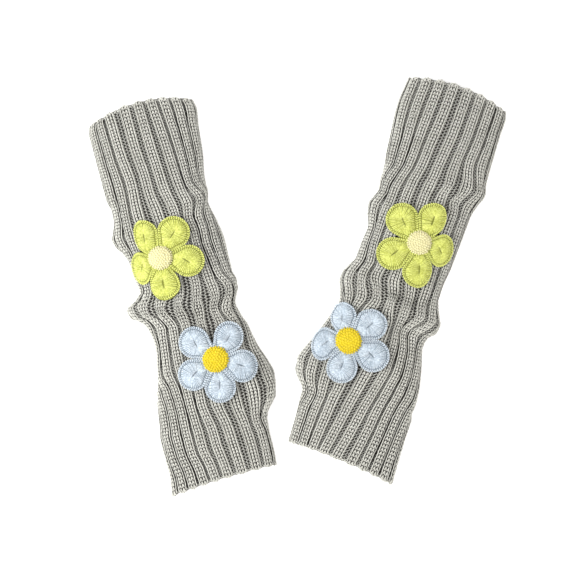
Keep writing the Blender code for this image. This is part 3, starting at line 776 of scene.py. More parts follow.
class Sewn:
    """A flower on a sleeve: where a place right of and above its middle lies in space."""

    def __init__(self, face, flower):
        self.face = face
        self.flower = flower
        across = np.full((face.rows, 1), flower.across)
        self.rows = np.arange(face.rows) * face.step
        self.middle_arcs = interp_rows(across, face.top_across, face.top_arc)[:, 0]

    def place(self, right, up, lift):
        """Points laid out round the flower's middle, then wrapped over the sleeve.

        Past the middle, the parts towards a rounded side are drawn in by that side's share.
        """
        flower = self.flower
        share = np.where(right < 0, flower.left_share, flower.right_share)
        far = np.maximum(np.abs(right) - DRAWN_FROM, 0)
        along = flower.along - up
        arc = np.interp(along, self.rows, self.middle_arcs)
        arc = arc + right - np.sign(right) * far * (1 - share)
        points, normals = self.face.at(along, arc)
        rise = lift + SIDE_GAP * (1 - normals[..., 2])
        return points + rise[..., None] * normals


def petal_height(flower, right, up, slit_depth=SLIT_DEPTH):
    """Thickness of the petals: an even layer, domed on each petal, pressed in at its slit.

    A dome is 1 - (distance / radius)^2. A slit is a trough exp(-(distance / width)^2) about a
    short line, and so is the wider hollow round it. The line is turned, by an angle of the
    table, from where it points at the flower's middle. Domes and troughs run out towards the
    flower's middle. All distances are in a petal's own scale.
    """
    centre = np.hypot(right, up)
    clear = np.clip((centre - CENTRE_RADIUS - DOME_MARGIN) / DOME_RUN_IN, 0, 1)
    height = np.full(np.shape(right), UNDER_STITCH)
    trough = np.zeros(np.shape(right))
    for angle, size, slit in zip(np.radians(flower.petals), flower.sizes, np.radians(flower.slits)):
        ahead = (right * math.cos(angle) + up * math.sin(angle)) / size
        aside = (up * math.cos(angle) - right * math.sin(angle)) / size
        away = np.hypot(ahead - PETAL_DISTANCE, aside)
        dome = PETAL_DOME * clear * np.clip(1 - (away / PETAL_RADIUS) ** 2, 0, 1)
        past = ahead - SLIT_DISTANCE
        lengthwise = past * math.cos(slit) + aside * math.sin(slit)
        sidewise = aside * math.cos(slit) - past * math.sin(slit)
        off_slit = np.hypot(np.maximum(np.abs(lengthwise) - SLIT_HALF, 0), sidewise)
        pressed = slit_depth * np.exp(-((off_slit / SLIT_SOFTNESS) ** 2))
        pressed = pressed + DIMPLE_DEPTH * np.exp(-((off_slit / DIMPLE_SOFTNESS) ** 2))
        height = np.maximum(height, UNDER_STITCH + dome)
        trough = trough + np.where(away < PETAL_RADIUS + 1, clear * pressed, 0)
    return np.maximum(height - trough, LEAST_LAYER)


# ---------------------------------------------------------------- meshes


def make_piece(name, points, faces, uvs=None, tones=None):
    """One mesh object from points in millimetres and arrays of faces, smooth all over.

    uvs holds one (u, v) pair for each corner of each face, tones one number for each point.
    """
    mesh = bpy.data.meshes.new(name)
    sizes = np.concatenate([np.full(len(part), part.shape[1]) for part in faces])
    corners = np.concatenate([part.ravel() for part in faces]).astype(np.int32)
    mesh.vertices.add(len(points))
    mesh.vertices.foreach_set("co", (points * MM).astype(np.float32).ravel())
    mesh.loops.add(len(corners))
    mesh.loops.foreach_set("vertex_index", corners)
    mesh.polygons.add(len(sizes))
    mesh.polygons.foreach_set("loop_start", (np.cumsum(sizes) - sizes).astype(np.int32))
    mesh.polygons.foreach_set("use_smooth", np.ones(len(sizes), bool))
    mesh.update(calc_edges=True)
    if uvs is not None:
        layer = mesh.uv_layers.new(name="yarn")
        layer.data.foreach_set("uv", uvs.astype(np.float32).ravel())
    if tones is not None:
        layer = mesh.attributes.new("tone", "FLOAT", "POINT")
        layer.data.foreach_set("value", tones.astype(np.float32))
    if mesh.validate():
        raise RuntimeError(f"{name} has faces that aren't valid")
    piece = bpy.data.objects.new(name, mesh)
    bpy.context.scene.collection.objects.link(piece)
    return piece


def ring_quads(ids, skip=()):
    """Quads between neighbouring rings of points, all round, less those of a hole."""
    keep = np.ones((len(ids) - 1, ids.shape[1]), bool)
    for rows, column in skip:
        keep[rows, column] = False
    beside = np.roll(ids, -1, 1)
    quads = np.stack((ids[:-1], ids[1:], beside[1:], beside[:-1]), -1)
    return quads[keep]


def frame_on(place, x, y, lift, steps):
    """Middles, steps along x and y (their length is the local stretch) and outward normals."""
    reach_x, reach_y = steps
    x, y, lift = np.broadcast_arrays(x, y, lift)
    middle = place(x, y, lift)
    along_x = (place(x + reach_x, y, lift) - place(x - reach_x, y, lift)) / (2 * reach_x)
    along_y = (place(x, y + reach_y, lift) - place(x, y - reach_y, lift)) / (2 * reach_y)
    return middle, along_x, along_y, unit(np.cross(along_x, along_y))


def grain_template(rings, sides):
    """A closed grain about an axis: its points as (lengthwise, wide, high) and its triangles."""
    turn = 2 * math.pi * np.arange(sides) / sides
    parts = [np.array([[-1.0, 0.0, 0.0]])]
    for place, radius in rings:
        ring = np.full(sides, place), radius * np.cos(turn), radius * np.sin(turn)
        parts.append(np.stack(ring, 1))
    parts.append(np.array([[1.0, 0.0, 0.0]]))
    ids = 1 + np.arange(len(rings) * sides).reshape(len(rings), sides)
    beside = np.roll(ids, -1, 1)
    last = 1 + ids.size
    first_cap = np.stack((np.zeros(sides, int), beside[0], ids[0]), 1)
    last_cap = np.stack((np.full(sides, last), ids[-1], beside[-1]), 1)
    near = np.stack((ids[:-1], beside[:-1], beside[1:]), -1).reshape(-1, 3)
    far = np.stack((ids[:-1], beside[1:], ids[1:]), -1).reshape(-1, 3)
    return np.concatenate(parts), np.concatenate((first_cap, near, far, last_cap))


def grains(frames, half, dip, rings, sides, rng, turning=JITTER_TURN):
    """Many closed grains of yarn as one set of points, triangles, uvs and tones.

    A point is middle + length * t + width * w + out * (h - dip * t^2), so that a grain is
    bowed and its ends go into the cloth. Its uv is its place in the grain, for the yarn's ply.
    Each grain is moved and turned a little by chance.
    """
    middle, lengthwise, out = frames
    middle = middle + rng.normal(0, JITTER, middle.shape)
    lengthwise = unit(unit(lengthwise) + rng.normal(0, turning, lengthwise.shape))
    out = unit(out - np.sum(out * lengthwise, -1, keepdims=True) * lengthwise)
    widthwise = np.cross(out, lengthwise)
    template, triangles = grain_template(rings, sides)
    t, w, h = template.T
    count = len(middle)
    reach, wide, high, dip = (np.broadcast_to(x, count)[:, None] for x in (*half, dip))
    points = middle[:, None] + lengthwise[:, None] * (reach * t)[..., None]
    points = points + widthwise[:, None] * (wide * w)[..., None]
    points = points + out[:, None] * (high * h - dip * t * t)[..., None]
    faces = triangles[None] + len(template) * np.arange(count)[:, None, None]
    start = rng.random((count, 1, 2)) * UV_SPREAD
    flat = np.stack((wide * w, reach * t), -1) + start
    tones = np.repeat(rng.random(count), len(template))
    uvs = flat.reshape(-1, 2)[faces.reshape(-1)]
    return points.reshape(-1, 3), faces.reshape(-1, 3), uvs, tones


def chosen_grains(chosen, frames, half, *finish):
    """The grains of those frames that are chosen."""
    length, width, height = half
    frames = tuple(part[chosen] for part in frames)
    return grains(frames, (length[chosen], width[chosen], height), *finish)


def joined(*sets):
    """Several sets of grains as one."""
    points, faces, uvs, tones = zip(*sets)
    offsets = np.cumsum([0, *map(len, points[:-1])])
    faces = [part + offset for part, offset in zip(faces, offsets)]
    return tuple(np.concatenate(parts) for parts in (points, faces, uvs, tones))


def toned(made, least, most):
    """The same grains, with their tones spread from least to most."""
    points, faces, uvs, tones = made
    return points, faces, uvs, least + (most - least) * tones


def grain_piece(name, made):
    """One object of a set of grains."""
    points, faces, uvs, tones = made
    return make_piece(name, points, [faces], uvs, tones)


# ---------------------------------------------------------------- the knitted wall


def rim_triangles(lip, inner):
    """Triangles from a ring of seven points a rib to one of four points a rib."""
    lip = lip.reshape(RIB_COUNT, -1)
    inner = inner.reshape(RIB_COUNT, -1)
    lip = np.concatenate((lip, np.roll(lip[:, :1], -1, 0)), 1)
    inner = np.concatenate((inner, np.roll(inner[:, :1], -1, 0)), 1)
    both = np.concatenate((lip, inner), 1)
    i = len(OUTER_SHARES) + 1
    pattern = (
        (0, 1, i + 1), (0, i + 1, i), (1, 2, i + 1), (2, 3, i + 2), (2, i + 2, i + 1),
        (3, 4, i + 2), (4, 5, i + 3), (4, i + 3, i + 2), (5, 6, i + 3), (6, 7, i + 4),
        (6, i + 4, i + 3),
    )
    return both[:, np.array(pattern)].reshape(-1, 3)


def rib_uvs(faces, flat):
    """Each face's corners as rib numbers and places along, run on where a face closes the ring."""
    uvs = []
    for part in faces:
        corner = flat[part]
        highest = corner[..., 0].max(1, keepdims=True)
        corner[..., 0] += RIB_COUNT * (corner[..., 0] < highest - RIB_COUNT / 2)
        uvs.append(corner.reshape(-1, 2))
    return np.concatenate(uvs)


def knit_wall(knit):
    """A sleeve's wall as points, faces, uvs and tones: ribbed outside, plain inside.

    The outer face is read at seven columns a rib, the inner at four. A rounded lip joins them
    at both ends, and flat lips join them round the thumb slit. The tone is 0 on the outer face,
    which is painted near black as the shade between its stitches, and 1 on the inner.
    """
    sleeve = knit.sleeve
    length = knit.outer.length
    upper = np.linspace(0, THUMB_START, UPPER_ROWS)
    slit = np.linspace(THUMB_START, THUMB_END, THUMB_ROWS)
    rows = np.concatenate((upper, slit[1:], np.linspace(THUMB_END, length, HAND_ROWS)[1:]))
    ribs = sleeve.low_rib + np.arange(RIB_COUNT)[:, None]
    outer_ribs = (ribs + np.array(OUTER_SHARES)).ravel()
    inner_ribs = (ribs + np.array(INNER_SHARES)).ravel()

    along, rib = np.meshgrid(rows, outer_ribs, indexing="ij")
    outer = knit.place(along, rib, 0.0)
    behind = knit.inside(along, rib)[[0, -1]]
    lips = (outer[[0, -1]] + behind) / 2
    lips = lips + LIP_ROUND * unit(outer[[0, -1]] - outer[[1, -2]])
    along_in, rib_in = np.meshgrid(rows, inner_ribs, indexing="ij")
    inner = knit.inside(along_in, rib_in)

    outer_ids = np.arange(along.size).reshape(along.shape)
    inner_ids = along.size + np.arange(along_in.size).reshape(along_in.shape)
    lip_ids = along.size + along_in.size + np.arange(lips[..., 0].size).reshape(2, -1)
    seam = (sleeve.seam_rib - sleeve.low_rib) % RIB_COUNT
    o = seam * len(OUTER_SHARES)
    i = seam * len(INNER_SHARES)
    first, last = UPPER_ROWS - 1, UPPER_ROWS + THUMB_ROWS - 2
    hole, beside = slice(first, last), slice(first, last + 1)
    faces = [ring_quads(outer_ids, [(hole, o)]), ring_quads(inner_ids, [(hole, i)])[:, ::-1]]
    for outer_column, inner_column, way in ((o, i, 1), (o + 1, i + 1, -1)):
        edge, back = outer_ids[beside, outer_column], inner_ids[beside, inner_column]
        faces.append(np.stack((edge[:-1], edge[1:], back[1:], back[:-1]), -1)[:, ::way])
    for row, way in ((first, -1), (last, 1)):
        end = (outer_ids[row, o], outer_ids[row, o + 1], inner_ids[row, i + 1], inner_ids[row, i])
        faces.append(np.array([end])[:, ::way])
    for row, lip, way in ((0, lip_ids[0], 1), (-1, lip_ids[1], -1)):
        edge = outer_ids[row]
        rim = np.stack((edge, np.roll(edge, -1), np.roll(lip, -1), lip), -1)
        faces.append(rim[:, ::way])
        faces.append(rim_triangles(lip, inner_ids[row])[:, ::way])

    lip_along = np.repeat((0.0, length), len(outer_ribs)).reshape(2, -1)
    places = [(rib, along), (rib_in, along_in), (np.tile(outer_ribs, (2, 1)), lip_along)]
    flat = np.concatenate([np.stack(pair, -1).reshape(-1, 2) for pair in places])
    points = np.concatenate([part.reshape(-1, 3) for part in (outer, inner, lips)])
    tones = np.ones(len(points))
    tones[: along.size] = 0
    return points, faces, rib_uvs(faces, flat), tones


# ---------------------------------------------------------------- knit stitches


def leg_frames(knit, places):
    """Frames and half sizes of the two slanted legs of V-shaped knit stitches.

    The outermost legs of a rib are straighter and longer, so that they run on as its edges.
    """
    rib, wale, along, leg = places
    rail = wale == np.where(leg < 0, 0, WALES - 1)
    left = knit.valley_half(along, rib)
    share = (1 - left - knit.valley_half(along, rib + 1)) / WALES
    middle_rib = rib + left + share * (wale + 0.5 + leg * LEG_OFFSET)
    middle, down, aside, out = frame_on(knit.place, along, middle_rib, LEG_LIFT, CREST_STEPS)
    turn = np.radians(np.where(rail, RAIL_TURN, LEG_TURN))
    lengthwise = (leg * np.sin(turn))[:, None] * unit(aside) - np.cos(turn)[:, None] * unit(down)
    width = LEG_WIDTH * share * knit.outer.pitch_of(along, rib + 0.5)
    length = LEG_LENGTH * knit.course_height(along) * np.linalg.norm(down, axis=-1)
    length = length * np.where(rail, RAIL_LONGER, 1.0)
    return (middle, unit(lengthwise), out), (length, width, LEG_HEIGHT)


def knit_stitches(knit, rng):
    """The knit stitches of a sleeve: left legs and right legs where seen, and plain ones below."""
    ribs = knit.sleeve.low_rib + np.arange(RIB_COUNT, dtype=float)
    grid = np.meshgrid(ribs, np.arange(WALES), knit.courses(), (-1.0, 1.0), indexing="ij")
    rib, wale, along, leg = (part.ravel() for part in grid)
    frames, half = leg_frames(knit, (rib, wale, along, leg))
    seen = frames[0][:, 2] > SEEN_HEIGHT
    parts = (
        (seen & (leg < 0), FULL_RINGS, FULL_SIDES),
        (seen & (leg > 0), FULL_RINGS, FULL_SIDES),
        (~seen, PLAIN_RINGS, PLAIN_SIDES),
    )
    return [
        chosen_grains(chosen, frames, half, LEG_DIP, rings, sides, rng)
        for chosen, rings, sides in parts
    ]


def purl_stitches(knit, rng):
    """The purl stitches of a sleeve's valleys, fine where they can be seen and plain below.

    Two purl wales stretch across each valley. Two threads a course cross in each of its three
    spans, one rising and one falling by half a course, and the outer spans mirror the middle
    one. So the threads' ends meet and the gaps between them are staggered. On the hidden side
    half of the threads are left out.
    """
    sleeve = knit.sleeve
    ribs = sleeve.low_rib + np.arange(RIB_COUNT, dtype=float)
    grid = np.meshgrid(ribs, knit.courses(), (-1.0, 0.0, 1.0), (-1.0, 1.0), indexing="ij")
    rib, along, span, way = (part.ravel() for part in grid)
    course = knit.course_height(along)
    half = knit.valley_half(along, rib)
    reach = PURL_REACH * half
    place = rib + span * PURL_SPAN * reach
    middle_along = along + course / 4 * (1 + np.where(span == 0, way, -way))
    lift = PURL_LIFT - PURL_SINK * (1 - knit.openness(half)) ** 2
    middle, down, aside, out = frame_on(knit.place, middle_along, place, lift, VALLEY_STEPS)
    slant = -way * course / 2
    run = (PURL_SPAN * reach)[:, None] * aside + slant[:, None] * down
    length = PURL_LENGTH * np.linalg.norm(run, axis=-1)
    width = PURL_WIDTH * (1 + PURL_WIDER * knit.openness(half))
    in_slit = (np.abs(rib - sleeve.seam_rib) < 0.5) & (along > THUMB_START) & (along < THUMB_END)
    seen = middle[:, 2] > SEEN_HEIGHT
    frames, size = (middle, unit(run), out), (length, width, PURL_HEIGHT)
    parts = ((seen & ~in_slit, LONG_SIDES), (~seen & ~in_slit & (way > 0), PLAIN_SIDES))
    made = (
        chosen_grains(chosen, frames, size, PURL_DIP, PLAIN_RINGS, sides, rng)
        for chosen, sides in parts
    )
    # Painted light: purl stitches take only the lighter half of the tones, offsetting the shade of the
    # valleys.
    return [toned(part, PURL_PAINTED_LIGHT, 1) for part in made]


def edge_stitches(knit, rng):
    """The chain of stitches round both ends of a sleeve, and along the thumb slit's lips."""
    sleeve = knit.sleeve
    length = knit.outer.length
    count = RIB_COUNT * EDGE_STITCHES
    ribs = sleeve.low_rib + (np.arange(count) + 0.5) / EDGE_STITCHES
    turn = math.radians(CHAIN_TURN)
    sets = []
    for end, way in ((CHAIN_START, -1.0), (length - CHAIN_START, 1.0)):
        for lift, reach in CHAIN_ROWS:
            along = end + way * reach
            middle, down, aside, out = frame_on(knit.place, along, ribs, lift, END_STEPS)
            slant = math.cos(turn) * unit(aside) + way * math.sin(turn) * unit(down)
            half = (CHAIN_LENGTH * knit.outer.pitch_of(along, ribs) / EDGE_STITCHES, *CHAIN_HALF)
            sets.append(grains((middle, slant, out), half, CHAIN_DIP, FULL_RINGS, FULL_SIDES, rng))
    lips = np.arange(THUMB_START + 1, THUMB_END, LIP_STEP)
    for side in (-1.0, 1.0):
        rib = sleeve.seam_rib + side * LIP_ASIDE
        for lift in LIP_LIFTS:
            middle, down, aside, out = frame_on(knit.place, lips, rib, lift, LIP_STEPS)
            slant = unit(unit(down) + LIP_LEAN * side * unit(aside))
            sets.append(grains((middle, slant, out), LIP_HALF, LIP_DIP, FULL_RINGS, FULL_SIDES, rng))
    return joined(*sets)


# ---------------------------------------------------------------- crochet


def layered(rings, top, bottom):
    """Points and faces of a closed layer from rings of points and a point at each middle."""
    count = rings.shape[1]
    ids = np.arange(rings[..., 0].size).reshape(rings.shape[:2])
    upper = np.full(count, ids.size)
    faces = [
        ring_quads(ids),
        np.stack((ids[0], np.roll(ids[0], -1), upper), -1),
        np.stack((np.roll(ids[-1], -1), ids[-1], upper + 1), -1),
    ]
    return np.concatenate((rings.reshape(-1, 3), top, bottom)), faces


def petal_outline(flower):
    """Spoke angles and radii of a flower's outline: five circles about their own middles.

    At an offset d from a petal's direction the radius is a * cos(d) + sqrt(b^2 - (a sin(d))^2),
    with a the petal's distance and b its radius, both in the petal's own scale. The notch
    between two petals is deeper where they stand further apart.
    """
    petals = np.radians(flower.petals)
    sizes = np.array(flower.sizes)[:, None]
    after = np.append(petals[1:], petals[0] + 2 * math.pi)
    before = np.append(petals[-1] - 2 * math.pi, petals[:-1])
    widest = math.asin(PETAL_RADIUS / PETAL_DISTANCE)
    share = np.sin(np.linspace(-0.5, 0.5, PETAL_SPOKES) * math.pi) * SPOKE_REACH
    gap = np.where(share[None, :] < 0, (petals - before)[:, None], (after - petals)[:, None]) / 2
    offset = share[None, :] * np.minimum(gap, widest)
    aside = PETAL_DISTANCE * np.sin(offset)
    radii = PETAL_DISTANCE * np.cos(offset) + np.sqrt(PETAL_RADIUS**2 - aside**2)
    notch = ((petals + after) / 2)[:, None]
    smaller = np.minimum(sizes, np.roll(sizes, -1, 0)) * PETAL_DISTANCE
    apart = smaller * (np.sin(notch - petals[:, None]) - PETAL_RADIUS / PETAL_DISTANCE)
    deep = np.clip(NOTCH_RADIUS - NOTCH_SLOPE * apart, LEAST_NOTCH, NOTCH_RADIUS)
    angles = np.concatenate((petals[:, None] + offset, notch), 1)
    radii = np.concatenate((radii * sizes, deep), 1)
    return angles.ravel(), radii.ravel()


def disc(sewn, outline, layers, under, thickness):
    """A closed crochet layer, made of rings and a point at each middle.

    A ring lies at a share of the outline's radii, and a level times the thickness there above
    the layer's underside.
    """
    angles, radii = outline
    rings = []
    for share, level in layers:
        right, up = polar(share * radii, angles)
        rings.append(sewn.place(right, up, under + level * thickness(right, up)))
    middle = np.zeros(1)
    top = sewn.place(middle, middle, under + thickness(middle, middle))
    return layered(np.array(rings), top, sewn.place(middle, middle, under))


def petals_layer(sewn):
    """The body of a flower's five petals."""

    def thickness(right, up):
        return np.maximum(petal_height(sewn.flower, right, up) - UNDER_DROP, LEAST_LAYER)

    return disc(sewn, petal_outline(sewn.flower), PETAL_RINGS, SEWN_GAP, thickness)


def centre_layer(sewn):
    """The body of a flower's round centre."""
    radius = CENTRE_RADIUS * sewn.flower.centre_size - NUB_OVERHANG

    def thickness(right, up):
        return CENTRE_EDGE - NUB_SINK + CENTRE_DOME * (1 - np.hypot(right, up) ** 2 / radius**2)

    outline = np.linspace(0, 2 * math.pi, CENTRE_SPOKES, endpoint=False), radius
    return disc(sewn, outline, CENTRE_RINGS, SEWN_GAP + PETAL_EDGE + STACK_GAP, thickness)


def crosswise(way, x, y):
    """How much of its width a grain keeps where the cloth is drawn in, across its direction."""
    return np.linalg.norm(np.sin(way)[:, None] * x - np.cos(way)[:, None] * y, axis=-1)


def laid(sewn, spots, lift, way, half, dip, rng, turning=JITTER_TURN):
    """Grains at spots on a flower, each turned its own way and drawn in as the cloth is."""
    middle, x, y, out = frame_on(sewn.place, *spots, lift, PETAL_STEPS)
    lengthwise = np.cos(way)[:, None] * x + np.sin(way)[:, None] * y
    half = (half[0], half[1] * crosswise(way, x, y), half[2])
    return grains((middle, lengthwise, out), half, dip, LONG_RINGS, LONG_SIDES, rng, turning)


def petal_axes(angle, ahead, aside):
    """Places right of and above the flower's middle from places ahead of and beside a petal."""
    right = ahead * np.cos(angle) - aside * np.sin(angle)
    return right, ahead * np.sin(angle) + aside * np.cos(angle)


def petal_run(flower, number, radius, margin):
    """The run of a row of stitches round one petal, as places ahead of and beside its line.

    The row starts by the flower's centre, beside the line half-way to the next petal and margin
    away from it. It goes straight out to the petal's round end, a circle about the petal's
    middle, and meets it where it turns along that line, or where it comes within the margin.
    It follows the circle and comes back on the other side.
    """
    size = flower.sizes[number]
    angles = np.radians(flower.petals)
    start = CENTRE_RADIUS * flower.centre_size + RUN_START
    middle = PETAL_DISTANCE * size
    ends, turns = [], []
    for side, other in ((-1, number - 1), (1, (number + 1) % len(angles))):
        half_gap = np.mod(side * (angles[other] - angles[number]), 2 * math.pi) / 2
        share = (middle * math.sin(half_gap) - margin) / (radius * size)
        turns.append(side * (half_gap + math.asin(min(share, 1.0))))
        ahead = start * math.cos(half_gap) + margin * math.sin(half_gap)
        aside = start * math.sin(half_gap) - margin * math.cos(half_gap)
        ends.append([ahead, side * aside])
    turn = np.linspace(*turns, RUN_POINTS)
    ahead, aside = polar(radius * size, turn)
    circle = np.stack((middle + ahead, aside), 1)
    return np.concatenate(([ends[0]], circle, [ends[1]]))


def spaced_along(run, step, start=0.5):
    """Places at even steps along a run of points, and the run's direction there."""
    lengths = np.hypot(*np.diff(run, axis=0).T)
    marks = np.concatenate(([0], np.cumsum(lengths)))
    count = int(round(marks[-1] / step))
    place = marks[-1] * (np.arange(count) + start) / count
    before, after = (
        np.stack([np.interp(place + nudge, marks, line) for line in run.T]) for nudge in RUN_NUDGES
    )
    return (before + after) / 2, np.arctan2(*(after - before)[::-1])


def petal_posts(sewn, rng):
    """The tall stitches that fan out from each petal's slit to its edging.

    Their outer ends are evenly spaced round the petal. Each starts at the slit's line, as far
    along it as the cosine of the post's own direction says, and is bowed as the petal is domed.
    """
    flower = sewn.flower
    sets = []
    first = CENTRE_RADIUS * flower.centre_size + RUN_START
    petals = zip(np.radians(flower.petals), flower.sizes, np.radians(flower.slits))
    for number, (angle, size, slit) in enumerate(petals):
        run = petal_run(flower, number, POST_END, POST_MARGIN)
        back = np.linspace(*np.arctan2(run[[-1, 0], 1], run[[-1, 0], 0]), RUN_POINTS)
        rim = np.stack(polar(first, back), 1)
        outer, _ = spaced_along(np.concatenate((run, rim)), POST_STEP)
        turn = np.arctan2(outer[1], outer[0] - SLIT_DISTANCE * size) - slit
        start = (SLIT_HALF + POST_START) * np.cos(turn), POST_START * np.sin(turn)
        ahead, aside = petal_axes(slit, *start)
        inner = size * np.stack((SLIT_DISTANCE + ahead, aside))
        spots = [petal_axes(angle, *part) for part in (inner, (inner + outer) / 2, outer)]
        lifts = [SEWN_GAP + POST_LIFT + petal_height(flower, *spot, 0.0) for spot in spots]
        near, far = (sewn.place(*spots[k], lifts[k]) for k in (0, 2))
        middle, x, y, out = frame_on(sewn.place, *spots[1], lifts[1], PETAL_STEPS)
        way = np.arctan2(spots[2][1] - spots[0][1], spots[2][0] - spots[0][0])
        narrow = crosswise(way, x, y)
        bow = np.sum((middle - (near + far) / 2) * out, -1)
        reach = np.linalg.norm(far - near, axis=-1) / 2
        frames = (middle, far - near, out)
        half = (reach, POST_WIDTH * POST_STEP * narrow, POST_HEIGHT)
        sets.append(grains(frames, half, bow + POST_DIP, POST_RINGS, LONG_SIDES, rng, POST_TURN))
    # Painted shade: posts take only the darker tones, as they catch more of the top light than the
    # edging.
    return toned(joined(*sets), 0, POST_PAINTED_SHADE)


def petal_edging(sewn, rng):
    """The rows of slanted stitches that run round each petal, from the flower's centre and back."""
    flower = sewn.flower
    sets = []
    for number, angle in enumerate(np.radians(flower.petals)):
        for row in EDGING_ROWS:
            run = petal_run(flower, number, row.radius, row.margin)
            spots, way = spaced_along(run, EDGING_STEP, rng.uniform(*EDGING_STARTS))
            right, up = petal_axes(angle, *spots)
            way = way + angle + math.radians(row.slant)
            outside = ease((np.hypot(right, up) - NOTCH_RADIUS) / EDGING_RISE)
            level = 1 - (1 - row.level) * outside
            lift = SEWN_GAP + level * petal_height(flower, right, up)
            half = (EDGING_LENGTH * EDGING_STEP, row.width, EDGING_HEIGHT)
            made = laid(sewn, (right, up), lift, way, half, EDGING_DIP, rng, EDGING_TURN)
            sets.append(made)
    # Painted light: the edging takes only the lightest tones, as its sloping rows catch less of the top
    # light.
    return toned(joined(*sets), EDGING_PAINTED_LIGHT, 1)


def inner_ring(sewn, rng):
    """One ring of short stitches round the flower's centre, where the petals' rows begin."""
    radius = CENTRE_RADIUS * sewn.flower.centre_size + RING_PLACE
    count = int(round(2 * math.pi * radius / RING_STEP))
    turn = 2 * math.pi * (np.arange(count) + rng.random()) / count
    lift = SEWN_GAP + UNDER_STITCH
    return laid(sewn, polar(radius, turn), lift, turn + RING_SLANT, RING_HALF, EDGING_DIP, rng)


def nubs(sewn, rng):
    """Knotty stitches in rings over a flower's round centre, slanted to and fro."""
    sets = []
    size = sewn.flower.centre_size
    for radius, count in NUB_RINGS:
        turn = 2 * math.pi * (np.arange(count) + NUB_SHIFT * radius) / count
        radius = size * (radius + rng.uniform(-NUB_STRAY, NUB_STRAY, count))
        way = rng.uniform(0, math.pi, count)
        away = radius / (CENTRE_RADIUS * size)
        lift = CENTRE_EDGE - NUB_SINK + CENTRE_DOME * (1 - away**2) + rng.uniform(*NUB_RISES, count)
        lift = SEWN_GAP + PETAL_EDGE + STACK_GAP + lift - np.where(away > RIM_SHARE, RIM_DROP, 0)
        half = (NUB_LENGTH * size, NUB_WIDTH * size, NUB_HEIGHT)
        sets.append(laid(sewn, polar(radius, turn), lift, way, half, NUB_DIP, rng))
    return joined(*sets)


# ---------------------------------------------------------------- materials


def add(tree, kind, values=None, **traits):
    """A shader node with its traits, and with values in its sockets by name or number."""
    node = tree.nodes.new(f"ShaderNode{kind}")
    for trait, value in traits.items():
        setattr(node, trait, value)
    for socket, value in (values or {}).items():
        node.inputs[socket].default_value = value
    return node


def link(tree, *joints):
    """Joins sockets, each joint given as a node and its output, then a node and its input."""
    for source, output, target, entry in joints:
        tree.links.new(source.outputs[output], target.inputs[entry])


def new_material(name, values):
    """A material with its node tree and its shader, which takes the values in its own sockets."""
    material = bpy.data.materials.new(name)
    material.use_nodes = True
    shader = material.node_tree.nodes["Principled BSDF"]
    for socket, value in values.items():
        shader.inputs[socket].default_value = value
    return material, material.node_tree, shader


def yarn_material(name, light, dark, flecked, sheen):
    """Soft plied yarn: two tones by stitch, in soft patches and in flecks, a ply and a fuzz.

    The ply is a band pattern on the grain's own uv, and the fuzz is noise in object space.
    """
    material, tree, shader = new_material(name, {
        "Roughness": 0.95, "Specular IOR Level": 0.12, "Sheen Weight": sheen, "Sheen Roughness": 0.45,
    })
    place = add(tree, "TexCoord")
    tone = add(tree, "Attribute", attribute_name="tone")
    patches = add(tree, "TexNoise", {"Scale": PATCH_SCALE, "Detail": 3.0})
    flecks = add(tree, "TexNoise", {"Scale": FLECK_SCALE, "Detail": 3.0})
    fainter = add(tree, "Math", {1: PATCH_SHARE}, operation="MULTIPLY")
    spread = add(tree, "Math", {1: flecked, 2: -FLECK_MIDDLE * flecked}, operation="MULTIPLY_ADD")
    both = add(tree, "Math", operation="ADD")
    blend = add(tree, "Math", {1: STITCH_SHARE}, operation="MULTIPLY_ADD")
    colour = add(tree, "Mix", {"A": (*dark, 1), "B": (*light, 1)}, data_type="RGBA")
    turned = add(tree, "Mapping", {"Rotation": (0, 0, math.radians(PLY_TURN))})
    twist = add(tree, "TexWave", {"Scale": PLY_SCALE, "Distortion": 0.6})
    fuzz = add(tree, "TexNoise", {"Scale": FUZZ_SCALE, "Detail": 4.0})
    ply = add(tree, "Bump", {"Strength": 0.45, "Distance": PLY_DEPTH})
    fine = add(tree, "Bump", {"Strength": 0.5, "Distance": FUZZ_DEPTH})
    link(
        tree,
        (place, "Object", patches, "Vector"), (place, "Object", flecks, "Vector"),
        (flecks, "Fac", spread, 0), (patches, "Fac", fainter, 0),
        (fainter, 0, both, 0), (spread, 0, both, 1),
        (tone, "Fac", blend, 0), (both, 0, blend, 2),
        (blend, 0, colour, "Factor"), (colour, "Result", shader, "Base Color"),
        (place, "UV", turned, "Vector"), (turned, "Vector", twist, "Vector"),
        (place, "Object", fuzz, "Vector"), (twist, "Fac", ply, "Height"),
        (fuzz, "Fac", fine, "Height"), (ply, "Normal", fine, "Normal"),
        (fine, "Normal", shader, "Normal"),
    )
    return material


